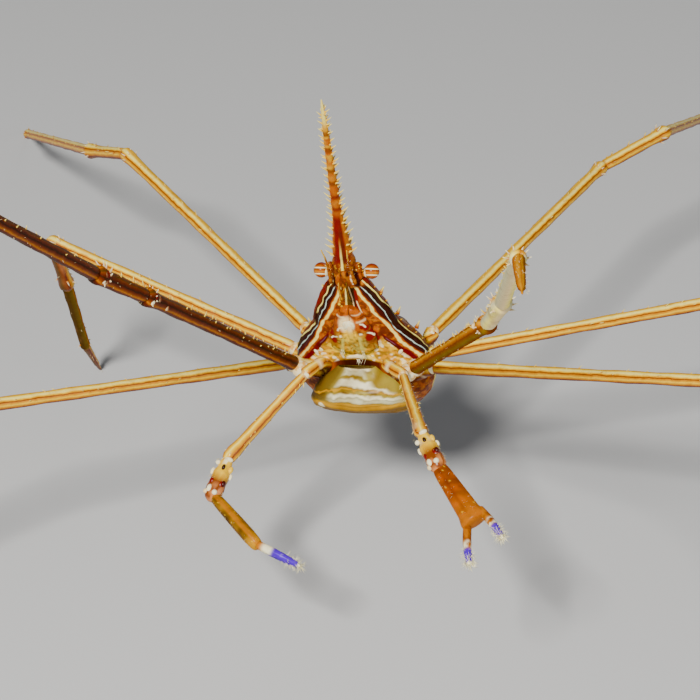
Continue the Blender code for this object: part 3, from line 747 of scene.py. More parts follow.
CRIMSON_LINES = {
    1: ((-6.6, 0.52), (-7.4, 0.57), (-8.0, 0.62), (-9.0, 0.68), (-9.6, 0.73), (-10.4, 0.76), (-11.4, 0.8)),
    -1: ((-7.2, 0.5), (-8.3, 0.58), (-9.0, 0.61), (-10.0, 0.66), (-11.4, 0.76)),
}


def covered(paints, shade, amount):
    """Lays a colour over paints by an amount of 0 to 1 at each point."""
    amount = np.clip(amount, 0, 1)[:, None]
    paints[:] = paints * (1 - amount) + np.asarray(shade) * amount


def band(distance, half, soft=0.06):
    """1 within half of a line, falling to 0 over a soft edge."""
    return np.clip((half - np.abs(distance)) / soft + 0.5, 0, 1)


def above(value, edge, soft=0.06):
    """0 below an edge and 1 above it."""
    return np.clip((value - edge) / soft + 0.5, 0, 1)


def patches(points, size, seed, edge, soft):
    """1 in the patches where a point's ripples rise over an edge, and 0 elsewhere."""
    return above(ripples(points, size, seed), edge, soft)


def dotted(points, spots):
    """The amount of round spots, given by centre and radius in the body's x and z."""
    amount = np.zeros(len(points))
    for x, z, radius in spots:
        amount = np.maximum(amount, above(radius, np.hypot(points[:, 0] - x, points[:, 2] - z), 0.09))
    return amount


def drawn(points, path, half, soft):
    """The amount of a line along a path of (x, z) points of the body's frame."""
    amount = np.zeros(len(points))
    flat = points[:, [0, 2]]
    for a, b in zip(path, path[1:]):
        a = np.asarray(a)
        run = np.asarray(b) - a
        share = np.clip(((flat - a) @ run) / (run @ run), 0, 1)
        distance = np.linalg.norm(flat - a - share[:, None] * run, axis=1)
        amount = np.maximum(amount, above(half, distance, soft))
    return amount


def ruled(paints, points, lines):
    """Lays lines over paints, given as rows of shade, amount, half width, soft edge and path."""
    for shade, amount, half, soft, path in lines:
        covered(paints, shade, amount * drawn(points, path, half, soft))


# Markings of the body's front: spots by x, z and radius, lines as ruled takes them
RED_PATCHES = ((-2.25, -7.0, 0.3), (-2.1, -7.75, 0.3), (2.15, -6.75, 0.36), (2.35, -7.3, 0.36),
               (1.9, -7.2, 0.3))
BROWN_PATCHES = ((3.2, -6.5, 0.5), (3.7, -7.2, 0.4))
GOLD_DOTS = ((-1.0, -3.15, 0.13), (-0.75, -3.4, 0.09), (-0.85, -2.8, 0.08))
MIDDLE_LINES = (
    (CREAM, 1.0, 0.095, 0.06, ((0.0, -1.2), (-0.2, -2.6), (-0.3, -4.1))),
    (PINK_WHITE, 1.0, 0.05, 0.06, ((0.3, -0.9), (0.42, -1.8), (0.5, -2.6), (0.55, -4.5))),
    (PINK_WHITE, 1.0, 0.06, 0.06, ((0.9, -2.7), (1.0, -3.3), (1.25, -4.1))),
    (GOLD, 1.0, 0.06, 0.06, ((0.05, -0.8), (-0.4, -1.5), (-0.8, -2.4), (-1.05, -3.2))),
)
# The back's lines from the margin inwards, with their half widths
BACK_LINES = (
    (GOLD, 0.09), (DARK_BROWN, 0.16), (PALE_GOLD, 0.1), (RED_BROWN, 0.2), (CREAM, 0.12), (DARK_BROWN, 0.18),
    (GOLD, 0.1),
)


def painted_skin(points, z, arc, share, to_margin, to_back, sign):
    """The colours of the skin's points from their places."""
    wave = ripples(points, 1.5, 3) * 0.04
    fine = ripples(points, 0.7, 4)
    broad = ripples(points, 3.0, 5)
    paints = mixed(ORANGE_BROWN, ORANGE, 0.45 + 0.4 * broad)
    covered(paints, RED_BROWN, 0.6 * above(fine, 0.5, 0.4))
    # The back: fine pale, gold and dark lines that run with the margin
    for line, (shade, half) in enumerate(BACK_LINES):
        at = 1.2 + 0.108 * line
        covered(paints, shade, band((share - at) * (to_back - to_margin) + wave, half) * above(share, 1.1))

    def line_at(tables):
        left, right = (between(tables[side], z) for side in (1, -1))
        return np.where(sign > 0, left, right) * to_margin + wave

    thick = line_at(THICK_LINES)
    ice = line_at(ICE_LINES)
    outer = line_at(OUTER_LINES)
    below = 1 - above(z, -0.9, 0.5)
    inner = thick - arc
    # Inside the thick line the face is orange, dark in its middle and gold and pearly by the mouth
    facing = above(inner, 0.1, 0.2) * below
    covered(paints, ORANGE_BROWN, facing * 0.85)
    covered(paints, ORANGE, facing * above(fine, -0.1, 0.7))
    covered(paints, GOLDEN_ORANGE, facing * 0.7 * patches(points, 0.5, 9, 0.35, 0.4))
    covered(paints, RED_BROWN, facing * 0.8 * patches(points, 1.0, 6, 0.3, 0.4))
    low = above(-z, 7.9, 1.4) * above(inner, 0.95, 0.5) * above(z, -12.0, 0.6)
    covered(paints, GOLD, low * 0.9)
    covered(paints, OLIVE, low * 0.7 * patches(points, 0.7, 10, 0.1, 0.5))
    covered(paints, PALE_GOLD, low * patches(points, 1.2, 7, 0.15, 0.5) * 0.9)
    covered(paints, PEARL, low * patches(points, 0.9, 8, 0.55, 0.3) * 0.9)
    # The flank beyond the outer line, dark red by the eyes and orange brown below
    flank = above(arc, outer + 0.1, 0.1)
    covered(paints, RED_BROWN, flank * above(1.15, share, 0.1) * 0.9)
    covered(paints, BLOOD, flank * above(1.2, share, 0.1) * above(z, -5.2, 2.0) * (0.75 + 0.25 * fine))
    covered(paints, ORANGE_BROWN, flank * above(1.12, share, 0.1) * above(-z, 4.4, 1.5) * 0.9)
    # The stripes between the thick and the outer line
    covered(paints, RED_BROWN, above(arc, thick, 0.1) * above(outer + 0.25, arc, 0.2) * below)
    covered(paints, MAROON, above(arc, thick + 0.3, 0.15) * above(ice, arc, 0.1) * below)
    covered(paints, BLACK, above(arc, ice - 0.2, 0.12) * above(outer, arc, 0.08) * below)
    covered(paints, BLACK,
            0.6 * above(arc, ice - 0.2, 0.1) * above(outer + 0.2, arc, 0.1) * below * (z > -6.6))
    notch = 1 - 0.85 * band(z + 6.1, 0.3, 0.3)
    gone = np.where(sign > 0, 0.0, band(z + 5.4, 0.7, 0.5))
    covered(paints, ICE_BLUE, band(arc - ice, 0.05 + 0.012 * fine, 0.05) * below * notch)
    covered(paints, CREAM,
            band(arc - outer, 0.075, 0.06) * above(z, -20, 1) * notch * (1 - gone) * above(-z, 0.2, 0.2))
    covered(paints, ORANGE, band(arc - thick, 0.3, 0.1) * below)
    covered(paints, CREAM, band(arc - thick, 0.16 + 0.03 * fine, 0.06) * below)
    crimson = line_at(CRIMSON_LINES)
    wide = 0.3 * np.clip((-6.7 - z) / 1.0, 0, 1)
    covered(paints, CRIMSON, band(arc - crimson, wide, 0.1) * above(z, -11.5) * above(-z, 6.7))
    covered(paints, MAROON, 0.9 * band(arc - crimson + 0.08, wide * 0.6, 0.2) * band(z + 8.0, 0.9, 0.5))
    # A thin purple pink line along part of the crimson band is a painted highlight
    covered(paints, colour(0.3, 0.12, 0.2), 0.6 * band(arc - crimson, 0.05, 0.08) * band(z + 7.9, 0.45, 0.2))
    # Short lines down the middle, over the mouth
    x = arc * sign
    middle = band(z + 2.7, 1.75, 0.2)
    covered(paints, DARK_BROWN, middle * band(x - 0.6, 0.3, 0.12))
    covered(paints, OLIVE_BROWN, middle * band(x - 0.15, 0.32, 0.08))
    covered(paints, BLOOD, middle * band(x - 0.92, 0.16, 0.08) * above(-z, 1.3, 0.3))
    ruled(paints, points, MIDDLE_LINES)
    covered(paints, PALE_GOLD, dotted(points, GOLD_DOTS))
    covered(paints, BLOOD, dotted(points, RED_PATCHES))
    covered(paints, RED_BROWN, 0.9 * dotted(points, BROWN_PATCHES) * above(inner, 0.2))
    # Orange brown with gold specks round the snout's root, dark at one side
    top = above(z, -0.95, 0.3) * above(outer - 0.1, arc, 0.1)
    covered(paints, ORANGE_BROWN, top)
    covered(paints, GOLDEN_ORANGE, top * above(fine, 0.35, 0.4))
    covered(paints, MAROON, top * band(x - 1.25, 0.35, 0.15) * above(0.9, z))
    covered(paints, MAROON, top * band(x + 1.05, 0.2, 0.15) * above(0.2, z))
    # Painted shade in the slit under the mouth's rim: black, with red brown and orange towards its sides
    slit_shade = band(z + 10.5 + 0.08 * x * x, 0.62, 0.2) * above(3.4, arc, 0.2)
    covered(paints, BLACK, slit_shade)
    covered(paints, RED_BROWN, slit_shade * (0.2 + 0.7 * above(arc, 1.5, 0.6)))
    covered(paints, ORANGE, slit_shade * 0.8 * above(arc, 2.4, 0.4))
    return paints


# Swellings of the back: x, z, half width, half length and height
SWELLINGS = (
    (0.0, -7.6, 1.7, 2.2, 0.35), (0.0, -14.4, 1.6, 1.9, 0.5), (3.9, -15.2, 2.0, 3.2, 0.45),
    (-3.9, -15.2, 2.0, 3.2, 0.45), (3.2, -10.4, 1.2, 1.3, 0.3), (-3.2, -10.4, 1.2, 1.3, 0.3),
    (0.0, -18.6, 1.6, 1.2, 0.3),
)


def relief_at(z, share, x):
    """How far the skin stands out, in millimetres."""
    out = 0.1 * np.exp(-((share - 0.97) / 0.08) ** 2) * (z < -1)
    out += 0.06 * np.exp(-((share - 0.7) / 0.07) ** 2) * (z < -2) * (z > -10)
    out -= 0.09 * np.exp(-((share - 0.83) / 0.05) ** 2) * (z < -1.5) * (z > -10)
    # Swellings and grooves of the back
    back = np.clip((share - 1.15) / 0.2, 0, 1)
    for middle_x, middle_z, wide, long, high in SWELLINGS:
        out += back * high * np.exp(-((x - middle_x) / wide) ** 2 - ((z - middle_z) / long) ** 2)
    out -= back * 0.3 * np.exp(-((z + 11.9 - 0.06 * x * x) / 0.5) ** 2)
    out -= back * 0.18 * np.exp(-((np.abs(x) - 1.9) / 0.35) ** 2) * np.clip((-z - 12.4) / 1, 0, 1)
    return out


def make_skin():
    """The shell and chest, with the stripes of the face, its rim and its spines."""
    places, angles = skin_grid()
    half, back, belly = smooth_stations(places)
    sine = np.sin(angles)
    rise = -np.cos(angles)
    rows = len(places)
    columns = len(angles)
    x = np.outer(half, np.sign(sine) * np.abs(sine) ** 0.9)
    height = np.where(rise[None, :] > 0, back[:, None], belly[:, None])
    power = np.where(rise > 0, BACK_CURVE, BELLY_CURVE)
    y = height * (np.sign(rise) * np.abs(rise) ** power)[None, :]
    y -= MARGIN_DROP * np.minimum(half / 3.5, 1)[:, None] * (1 - np.abs(rise))[None, :]
    y = np.maximum(y, -BELLY_PLANE)
    z = np.repeat(places[:, None], columns, axis=1)
    grid = np.stack([x, y, z], axis=2)
    # Arc lengths from the belly's middle line, on each side
    middle = columns // 2
    steps = np.linalg.norm(np.diff(np.concatenate([grid, grid[:, :1]], axis=1), axis=1)[:, :, :2], axis=2)
    arc = np.zeros((rows, columns))
    arc[:, 1:middle + 1] = np.cumsum(steps[:, :middle], axis=1)
    arc[:, middle + 1:] = np.cumsum(steps[:, :middle:-1], axis=1)[:, ::-1]
    to_back = arc[:, middle][:, None] * np.ones(columns)
    margin = int(np.argmin(np.abs(np.degrees(angles[:middle]) - 90)))
    to_margin = arc[:, margin][:, None] * np.ones(columns)
    share = np.where(arc <= to_margin, arc / to_margin, 1 + (arc - to_margin) / (to_back - to_margin))
    sign = np.where(sine >= 0, 1.0, -1.0)[None, :] * np.ones((rows, 1))
    # Normals of the grid, then the relief along them
    around = np.roll(grid, -1, axis=1) - np.roll(grid, 1, axis=1)
    down = np.gradient(grid, axis=0)
    normal = np.cross(around, down)
    normal /= np.linalg.norm(normal, axis=2, keepdims=True) + 1e-9
    outward = np.sign((normal * (grid * [1, 1, 0])).sum(axis=2, keepdims=True))
    flat = grid.reshape(-1, 3)
    out = relief_at(z, share, x).ravel()
    out += 0.035 * ripples(flat, 2.4, 1) + 0.012 * ripples(flat, 0.8, 2)
    ends = np.clip((SHELL_TOP - z) / 0.6, 0, 1) * np.clip((z - SHELL_END) / 0.8, 0, 1)
    points = flat + (normal * outward).reshape(-1, 3) * (out * ends.ravel())[:, None]
    paints = painted_skin(flat, *(values.ravel() for values in (z, arc, share, to_margin, to_back, sign)))
    heap = Heap()
    heap.add(in_world(points), closed_faces(rows, columns), None, paints)
    add_shell_spines(heap)
    add_mouth_rim(heap)
    add_pearls(heap)
    heap.made("shell_skin", "shell", "shell", ["carapace", "thorax"])


def in_world(points):
    """Points of the body's frame in the world, as an array."""
    turn = np.asarray(TURN)
    return np.asarray(points) @ turn.T + np.asarray(BODY.translation)


# Spines of the shell's sides: place along it, x, y and sideways lean
SHELL_SPINES = ((-1.1, 1.5, 0.4, 0.9), (-3.6, 2.9, 0.3, 0.5), (-6.9, 4.1, 0.4, 0.4), (-9.6, 5.6, 0.8, 0.4))
BACK_SPINE = Vector((0.0, 3.4, -12.2))


def add_shell_spines(heap):
    """Small spines on the shell's sides and one on its back."""
    for _, sign in SIDES:
        for z, x, y, lean in SHELL_SPINES:
            root = on_body(sign * x, y, z)
            spine(heap, root, turned(sign * lean, 0.4, 0.75), 0.8, 0.2, ORANGE, CREAM)
        for k in range(9):
            z = -2.0 - 1.0 * k
            half = smooth_stations([z])[0][0]
            root = on_body(sign * (half * 0.96), -0.55 * min(half / 3.5, 1), z)
            long = random.uniform(0.2, 0.35)
            spine(heap, root, turned(sign, 0.5, 0.5), long, 0.11, ORANGE, PALE_GOLD)
    spine(heap, BODY @ BACK_SPINE, turned(0, 1, 0.3), 0.9, 0.3, ORANGE, CREAM)


# Beads by x, y, z and radius; they are partly painted highlights
PEARLS = (
    (-4.3, -3.0, -9.6, 0.26), (-3.7, -3.0, -9.2, 0.2), (4.5, -2.9, -9.3, 0.28), (4.2, -2.9, -10.2, 0.24),
    (4.6, -2.4, -11.2, 0.3), (-5.0, -2.6, -10.4, 0.26), (-5.6, -2.2, -11.3, 0.22),
)


def add_pearls(heap):
    """Smooth pale beads round the roots of the arms, partly lumps of the shell and partly painted
    highlights.
    """
    for x, y, z, size in PEARLS:
        tilt = Matrix.Rotation(math.copysign(0.6, x), 3, "Y")
        ball(heap, on_body(x, y + 0.08, z), size, PEARL, (0.75, 0.6, 1.5), TURN @ tilt, rings=12, sides=16)


# Points of the rim by x and z
RIM_KNOTS = (
    (-3.7, -11.7), (-2.9, -11.0), (-1.9, -10.25), (-0.6, -9.76), (0.5, -9.7), (1.5, -9.9), (2.3, -10.35),
    (3.1, -11.1),
)


def add_mouth_rim(heap):
    """The pale rim arched under the mouth, down to the arms' roots."""
    path = [BODY @ p for p in fine_curve([Vector((x, RIM_FRONT, z)) for x, z in RIM_KNOTS], RIM_STEPS)]
    radii = [RIM_RADIUS * (1 - 0.45 * abs(share) ** 4) for share in np.linspace(-1, 1, RIM_STEPS)]

    def tint(points, places):
        paints = rippled(CREAM, GOLD, points, 1.2, 21, 0.25, 0.35)
        covered(paints, PEARL, band(places[:, 2] - 0.45, 0.2, 0.1) * 0.7)
        covered(paints, ORANGE, above(-points[:, 2], -float(path[RIM_STEPS // 2].z) + 0.2, 0.2) * 0.5)
        return paints

    tube(heap, path, radii, sides=16, paints=tint)


# The folded tail

# Pale bands: place down the tail, half width, reach to the crab's right and left, shade
TAIL_BANDS = ((0.0, 0.012, -0.6, 0.7, PEARL), (0.04, 0.022, -0.55, 0.4, OLIVE_WHITE),
              (0.135, 0.03, -0.55, 0.5, PEARL), (0.165, 0.014, 0.1, 0.85, PEARL),
              (0.275, 0.04, -0.62, 0.9, OLIVE_WHITE), (0.245, 0.012, -0.6, 0.9, PEARL))


def make_tail():
    """The folded tail: a banded dome with a groove between its rings."""
    rows, columns = TAIL_GRID
    shares = np.linspace(0, 1, rows)
    points = []
    info = []
    for t in shares:
        z = TAIL_TOP + (TAIL_END - TAIL_TOP) * t
        half = float(between(TAIL_WIDTHS, t))
        height = float(between(TAIL_HEIGHTS, t))
        groove = 0.09 * max(0.0, math.cos(2 * math.pi * 5 * t)) ** 6
        back = -(min(float(belly_at(z)), BELLY_PLANE) + GAP + 0.05)
        for k in range(columns):
            angle = math.pi * k / (columns - 1)
            ridge = 0.1 * math.exp(-((math.cos(angle)) / 0.5) ** 2)
            out = height * math.sin(angle) ** 0.8 * (1 + ridge * 0.3) - groove * math.sin(angle)
            points.append((half * math.cos(angle), back - 0.12 - out, z))
            info.append((t, math.cos(angle), height * (1 - math.sin(angle) ** 0.8)))
    points = np.asarray(points)
    points[:, 1] += 0.025 * ripples(points, 1.7, 31)
    t, across, sunk = np.asarray(info).T
    wave = 0.01 * ripples(points * [1, 0, 0.2], 3.2, 32) + 0.006 * ripples(points, 0.9, 34)
    level = t - 0.1 * sunk + wave
    broad = ripples(points, 2.6, 33)
    blotch = ripples(points * [0.5, 1, 1.3], 1.1, 35)
    paints = mixed(OLIVE, OLIVE_PALE, 0.2 + 0.25 * broad)
    covered(paints, OLIVE_BROWN, 0.8 * above(-across, 0.62, 0.3) * above(0.32, level, 0.1))
    covered(paints, OLIVE_BROWN, 0.7 * above(blotch, 0.35, 0.3) * band(level - 0.2, 0.03, 0.02))
    covered(paints, GOLD, 0.7 * above(level, 0.33, 0.03))
    covered(paints, OLIVE_BROWN, 0.7 * above(level, 0.4, 0.12))
    covered(paints, GOLD, 0.6 * band(level - 0.19, 0.01, 0.01))
    for place, half, right, left, shade in TAIL_BANDS:
        reach = above(across, right, 0.2) * above(left, across, 0.2)
        edge = level - place - 0.01 * blotch
        covered(paints, shade, band(edge, half, 0.02) * reach * (0.78 + 0.2 * broad))
        covered(paints, OLIVE_BROWN, 0.5 * band(edge - half - 0.014, 0.006, 0.012) * reach)
    covered(paints, PEARL, 0.9 * dotted(points, ((-3.9, TAIL_TOP - 3.6, 0.35), (-4.4, TAIL_TOP - 4.6, 0.3))))
    faces = grid_faces(rows, columns, closed=False)
    faces += [tuple(range(columns)), tuple(range(rows * columns - 1, (rows - 1) * columns - 1, -1))]
    faces.append(tuple(r * columns for r in range(rows - 1, -1, -1)) + tuple(
        r * columns + columns - 1 for r in range(rows)))
    heap = Heap()
    heap.add(in_world(points), faces, None, paints)
    heap.made("tail_skin", "tail", "tail", ["abdomen"])


# The snout

# Dark rings: share of the snout's length and half width
SNOUT_RINGS = ((0.367, 0.012), (0.439, 0.012), (0.522, 0.013), (0.597, 0.012), (0.717, 0.014), (0.81, 0.016),
               (0.9, 0.012))


# Rows of spinules: angle from the snout's side, count and length
SPINULE_ROWS = ((2, 22, 0.8), (-28, 15, 0.5), (38, 18, 0.55), (70, 14, 0.4))
SNOUT_STEPS = 150


def painted_snout(points, places):
    """The snout's red middle, gold sides, rings and pale tip."""
    share = places[:, 2]
    front = -places[:, 0]
    side = places[:, 1]
    paints = rippled(GOLDEN_ORANGE, ORANGE, points, 1.5, 41)
    covered(paints, PALE_GOLD,
            0.6 * np.clip((share - 0.5) / 0.2, 0, 1) * (0.5 + 0.5 * ripples(points, 1.1, 42)))
    covered(paints, BLOOD,
            np.clip((0.36 - share) / 0.05, 0, 1) * band(side, 0.66 + 0.2 * (share < 0.1), 0.25))
    covered(paints, RED_BROWN, np.clip((0.3 - share) / 0.1, 0, 1) * band(side - 0.3, 0.18, 0.25))
    for place, half in SNOUT_RINGS:
        covered(paints, ORANGE_BROWN if place > 0.5 else BLOOD, 0.85 * band(share - place, half, 0.012))
    covered(paints, CREAM, np.clip((share - 0.84) / 0.06, 0, 0.85))
    line = band(side - 0.05, 0.09 - 0.2 * share, 0.06) * above(0.2, share, 0.02) * (front > 0)
    root = above(0.045, share, 0.03)
    covered(paints, ORANGE_BROWN, 0.9 * root * above(np.abs(side), 0.3, 0.1))
    covered(paints, GOLD, 0.9 * root * patches(points, 0.5, 43, 0.5, 0.3))
    covered(paints, mixed(CREAM, GOLDEN_ORANGE, (share - 0.1) / 0.09), line)
    return paints


def make_snout():
    """The long snout with its rows of spinules."""
    root = Vector((0, 0, SNOUT_ROOT))
    shares = np.concatenate([np.linspace(-0.03, 0.97, SNOUT_STEPS), [0.985, 0.995, 1.0]])
    path = [BODY @ (root + SNOUT_WAY * SNOUT_LENGTH * s) for s in shares]
    radii = [float(between(SNOUT_RADII, s)) * (1 + 0.05 * math.cos(2 * math.pi * s / 0.075)) for s in shares]
    radii[-3:] = [0.09, 0.06, 0.02]
    heap = Heap()
    up = turned(0, 1, 0)
    tube(heap, path, radii, sides=60, face=up, front=turned(1, 0, 0), paints=painted_snout)
    for row, (angle, count, size) in enumerate(SPINULE_ROWS):
        for _, sign in SIDES:
            for k in range(count):
                share = 0.04 + 0.9 * (k + random.uniform(-0.15, 0.15) + 0.25 * row) / count
                a = math.radians(angle + random.uniform(-8, 8))
                out = Vector((sign * math.cos(a), math.sin(a), 0.0))
                shift = 0.5 if sign > 0 else 0.0
                middle = root + SNOUT_WAY * (SNOUT_LENGTH * share + shift)
                radius = float(between(SNOUT_RADII, share))
                long = size * (1.15 - 0.45 * share) * random.uniform(0.8, 1.15)
                place = BODY @ (middle + out * radius * 0.9)
                lean = TURN @ (out + SNOUT_WAY * 0.55)
                spine(heap, place, lean, long, 0.17 - 0.07 * share, GOLD, CREAM, TURN @ (SNOUT_WAY * 0.3))
                if row == 0:
                    ball(heap, place, 0.17 - 0.06 * share, PALE_GOLD, rings=6, sides=8)
    add_brows(heap)
    heap.made("snout_skin", "snout", "snout", ["rostrum"])


BROW_LINES = (
    (MAROON, 1.0, 0.18, 0.1, ((1.25, 0.7), (1.35, -0.1), (1.6, -0.8))),
    (ORANGE, 1.0, 0.05, 0.06, ((1.5, 0.6), (1.62, -0.1), (1.9, -0.7))),
    (PINK_WHITE, 1.0, 0.08, 0.05, ((0.8, 0.95), (0.74, 0.5))),
    (PEARL, 1.0, 0.06, 0.05, ((0.7, 0.25), (0.76, -0.15))),
)


def painted_brow(points):
    """Orange brown with gold specks, pale flecks and dark red hollows, from places on the body."""
    paints = rippled(ORANGE_BROWN, ORANGE, points, 1.2, 44)
    covered(paints, RED_BROWN, 0.5 * patches(points, 0.9, 45, 0.4, 0.5))
    covered(paints, GOLDEN_ORANGE, 0.8 * patches(points * [1, 1, 0.5], 0.6, 46, 0.5, 0.4))
    covered(paints, MAROON, 0.9 * dotted(points, ((-0.3, 0.85, 0.22), (0.55, 0.85, 0.3))))
    ruled(paints, points, BROW_LINES)
    covered(paints, PEARL, dotted(points, ((0.82, -0.5, 0.1),)))
    covered(paints, PEARL, dotted(points, ((-1.45, 0.0, 0.1), (-1.4, -0.35, 0.12), (-0.75, -0.85, 0.12))))
    return paints


def body_lump(heap, centre, radii, lean, painter):
    """A smooth lump in the body's frame, leaning sideways by an angle in degrees."""
    turn = Matrix.Rotation(math.radians(lean), 3, "Y")
    own = Heap()
    ball(own, Vector(centre), 1.0, CLEAR, radii, turn, rings=26, sides=32)
    points = np.concatenate(own.points)
    heap.add(in_world(points), own.faces, None, painter(points))


# Ridges of the brow on the crab's left: centre, radii and lean in degrees
BROW_LUMPS = (
    ((1.3, -0.3, 0.75), (0.5, 0.5, 0.85), 12),
    ((1.3, -0.55, -0.2), (0.42, 0.5, 0.7), 8),
    ((0.72, -1.05, -0.3), (0.3, 0.3, 0.95), -8),
)


def add_brows(heap):
    """Smooth ridges between the snout's root and the eyes, with small spines and beads."""
    for _, sign in SIDES:
        for (x, y, z), radii, lean in BROW_LUMPS:
            body_lump(heap, (sign * x, y, z), radii, sign * lean, painted_brow)
        for _ in range(8):
            x = random.uniform(0.9, 1.75)
            z = random.uniform(-0.3, 1.5)
            root = on_body(sign * x, -0.78 + 0.22 * (x - 1.2) ** 2 * 4, z)
            size = random.uniform(0.04, 0.08)
            ball(heap, root, size, random.choice((PALE_GOLD, GOLD, CREAM)), rings=6, sides=8)
        for x, z, long in ((1.45, 1.45, 0.6), (1.75, 0.95, 0.4), (1.8, 0.45, 0.3)):
            root = on_body(sign * x, -0.35, z)
            spine(heap, root, turned(sign * 0.7, -0.2, 0.8), long, 0.09, GOLDEN_ORANGE, PALE_GOLD)
    body_lump(heap, (0.05, -1.05, 0.2), (0.5, 0.42, 1.25), 0, painted_brow)
    # Dark round lumps behind and under the eyes
    ball(heap, on_body(1.5, -0.1, 0.95), 0.3, MAROON, turn=TURN, rings=12, sides=16)
    ball(heap, on_body(-1.75, -0.9, -1.05), 0.3, MAROON, turn=TURN, rings=12, sides=16)


# Eyes, feelers and mouthparts

def painted_eye(unit):
    """Orange with thin pale lines across."""
    level = unit @ np.asarray(TURN.transposed() @ VIEW_UP)
    paints = rippled(ORANGE, GOLDEN_ORANGE, unit * [1, 1, 3], 0.8, 51, 0.4, 0.5)
    covered(paints, BLOOD, above(np.abs(level + 0.1), 0.75, 0.35) * 0.85)
    covered(paints, ORANGE_BROWN, 0.8 * band(level - 0.1, 0.1, 0.12))
    covered(paints, GOLD, 0.7 * band(level + 0.25, 0.04, 0.08))
    for line in (0.27, -0.52):
        covered(paints, RED_BROWN, 0.7 * band(level - line, 0.13, 0.05))
        covered(paints, PEARL, band(level - line + 0.03 * unit[:, 0], 0.075, 0.04))
    return paints


def make_eyes():
    """Round banded eyes on short stalks."""
    for side, sign in SIDES:
        heap = Heap()
        centre = on_body(sign * EYE_SPAN, 0.0, 0.0)
        ball(heap, centre, EYE_RADIUS, painted_eye, turn=TURN, rings=60, sides=64)
        path = [on_body(sign * x, y, z) for x, y, z in (
            (STALK_ROOT - 0.5, -0.1, -0.35), (STALK_ROOT, -0.05, -0.2), (2.1, 0.0, -0.1),
            (EYE_SPAN - 0.1, 0, -0.02))]

        def tint(points, places):
            paints = rippled(ORANGE_BROWN, GOLDEN_ORANGE, points, 0.6, 52)
            covered(paints, PEARL, band(places[:, 2] - 0.75, 0.07, 0.05))
            return paints

        tube(heap, path, [0.42, 0.42, 0.5, 0.6], sides=24, paints=tint)
        collar = on_body(sign * 2.06, -0.12, -0.05)
        ball(heap, collar, 0.5, lambda unit: rippled(PEARL, PINK_WHITE, unit, 0.8, 56),
             (0.5, 1.0, 1.05), TURN, rings=16, sides=20)
        for k in range(9):
            a = 2 * math.pi * k / 9
            out = Vector((0.1 * sign, math.cos(a), math.sin(a)))
            spot = BODY @ (Vector((sign * (1.95 + 0.08 * (k % 2)), 0, -0.12)) + out * 0.42)
            ball(heap, spot, 0.1, PEARL if k % 3 == 0 else PALE_GOLD, rings=6, sides=8)
        heap.dresses(f"eye_{side}", "eye", "eye")


def painted_feeler(points, places):
    """Brown orange with small gold specks and a paler tip."""
    paints = rippled(ORANGE_BROWN, GOLDEN_ORANGE, points, 0.8, 53)
    covered(paints, RED_BROWN, 0.5 * above(np.sin(places[:, 2] * 50), 0.6, 0.5))
    covered(paints, PALE_GOLD, above(places[:, 2], 0.75, 0.2) * 0.7)
    return paints


def painted_small_feeler(sign):
    """Gold on the crab's right. Black with a pale line on its left."""
    def tint(points, places):
        if sign < 0:
            paints = rippled(ORANGE_BROWN, GOLDEN_ORANGE, points, 0.8, 54)
            covered(paints, PALE_GOLD, band(places[:, 1] - 0.1, 0.16, 0.15))
            return paints
        paints = rippled(DARK_BROWN, OLIVE_BROWN, points, 0.8, 55)
        covered(paints, GOLDEN_ORANGE, 0.6 * band(places[:, 1] - 0.45, 0.1, 0.15))
        return paints

    return tint


def make_feelers():
    """The long and the short pair of feelers, ringed and with fine bristles."""
    for side, sign in SIDES:
        heap = Heap()
        path = [mirrored(FEELER_ROOT, sign)]
        for t in range(FEELER_BENDS):
            step = Vector((sign * (0.02 * t * t - 0.06), -0.02 * t, 1.0)).normalized()
            for _ in range(FEELER_STEPS // FEELER_BENDS):
                path.append(path[-1] + step * FEELER_LENGTH / FEELER_STEPS)
        shares = np.linspace(0, 1, len(path))
        radii = [0.2 * (1 - 0.72 * s ** 0.8) * (1 + 0.05 * math.cos(s * 75)) for s in shares[:-1]] + [0.05]
        tube(heap, [BODY @ p for p in path], radii, sides=14, paints=painted_feeler)
        coat = Heap()
        for step in range(6, 38, 2):
            a = random.uniform(0, 6.28)
            lean = turned(math.cos(a), math.sin(a), 0.9)
            long = random.uniform(0.3, 0.6)
            hair(coat, BODY @ path[step], lean, long, 0.018, spot=(a / 6.4, step / FEELER_STEPS))
        coat.made(f"antenna_{side}_setae", "setae", "feeler")
        heap.dresses(f"antenna_{side}", "snout", "feeler")
        heap = Heap()
        root = mirrored(SMALL_FEELER_ROOT, sign)
        shares = np.linspace(0, 1, 30)
        path = [root + Vector((0, 0.15 * s - 0.2 * math.sin(math.pi * s),
                               SMALL_FEELER_LENGTH * s)) for s in shares]
        radii = [0.19 * (1 - 0.5 * s) * (1 + 0.04 * math.cos(s * 40)) if s < 0.97 else 0.05 for s in shares]
        front = turned(1, 0, 0)
        face = turned(0, -1, 0)
        tint = painted_small_feeler(sign)
        tube(heap, [BODY @ p for p in path], radii, sides=16, face=face, front=front, paints=tint)
        heap.dresses(f"antennule_{side}", "snout", "feeler")
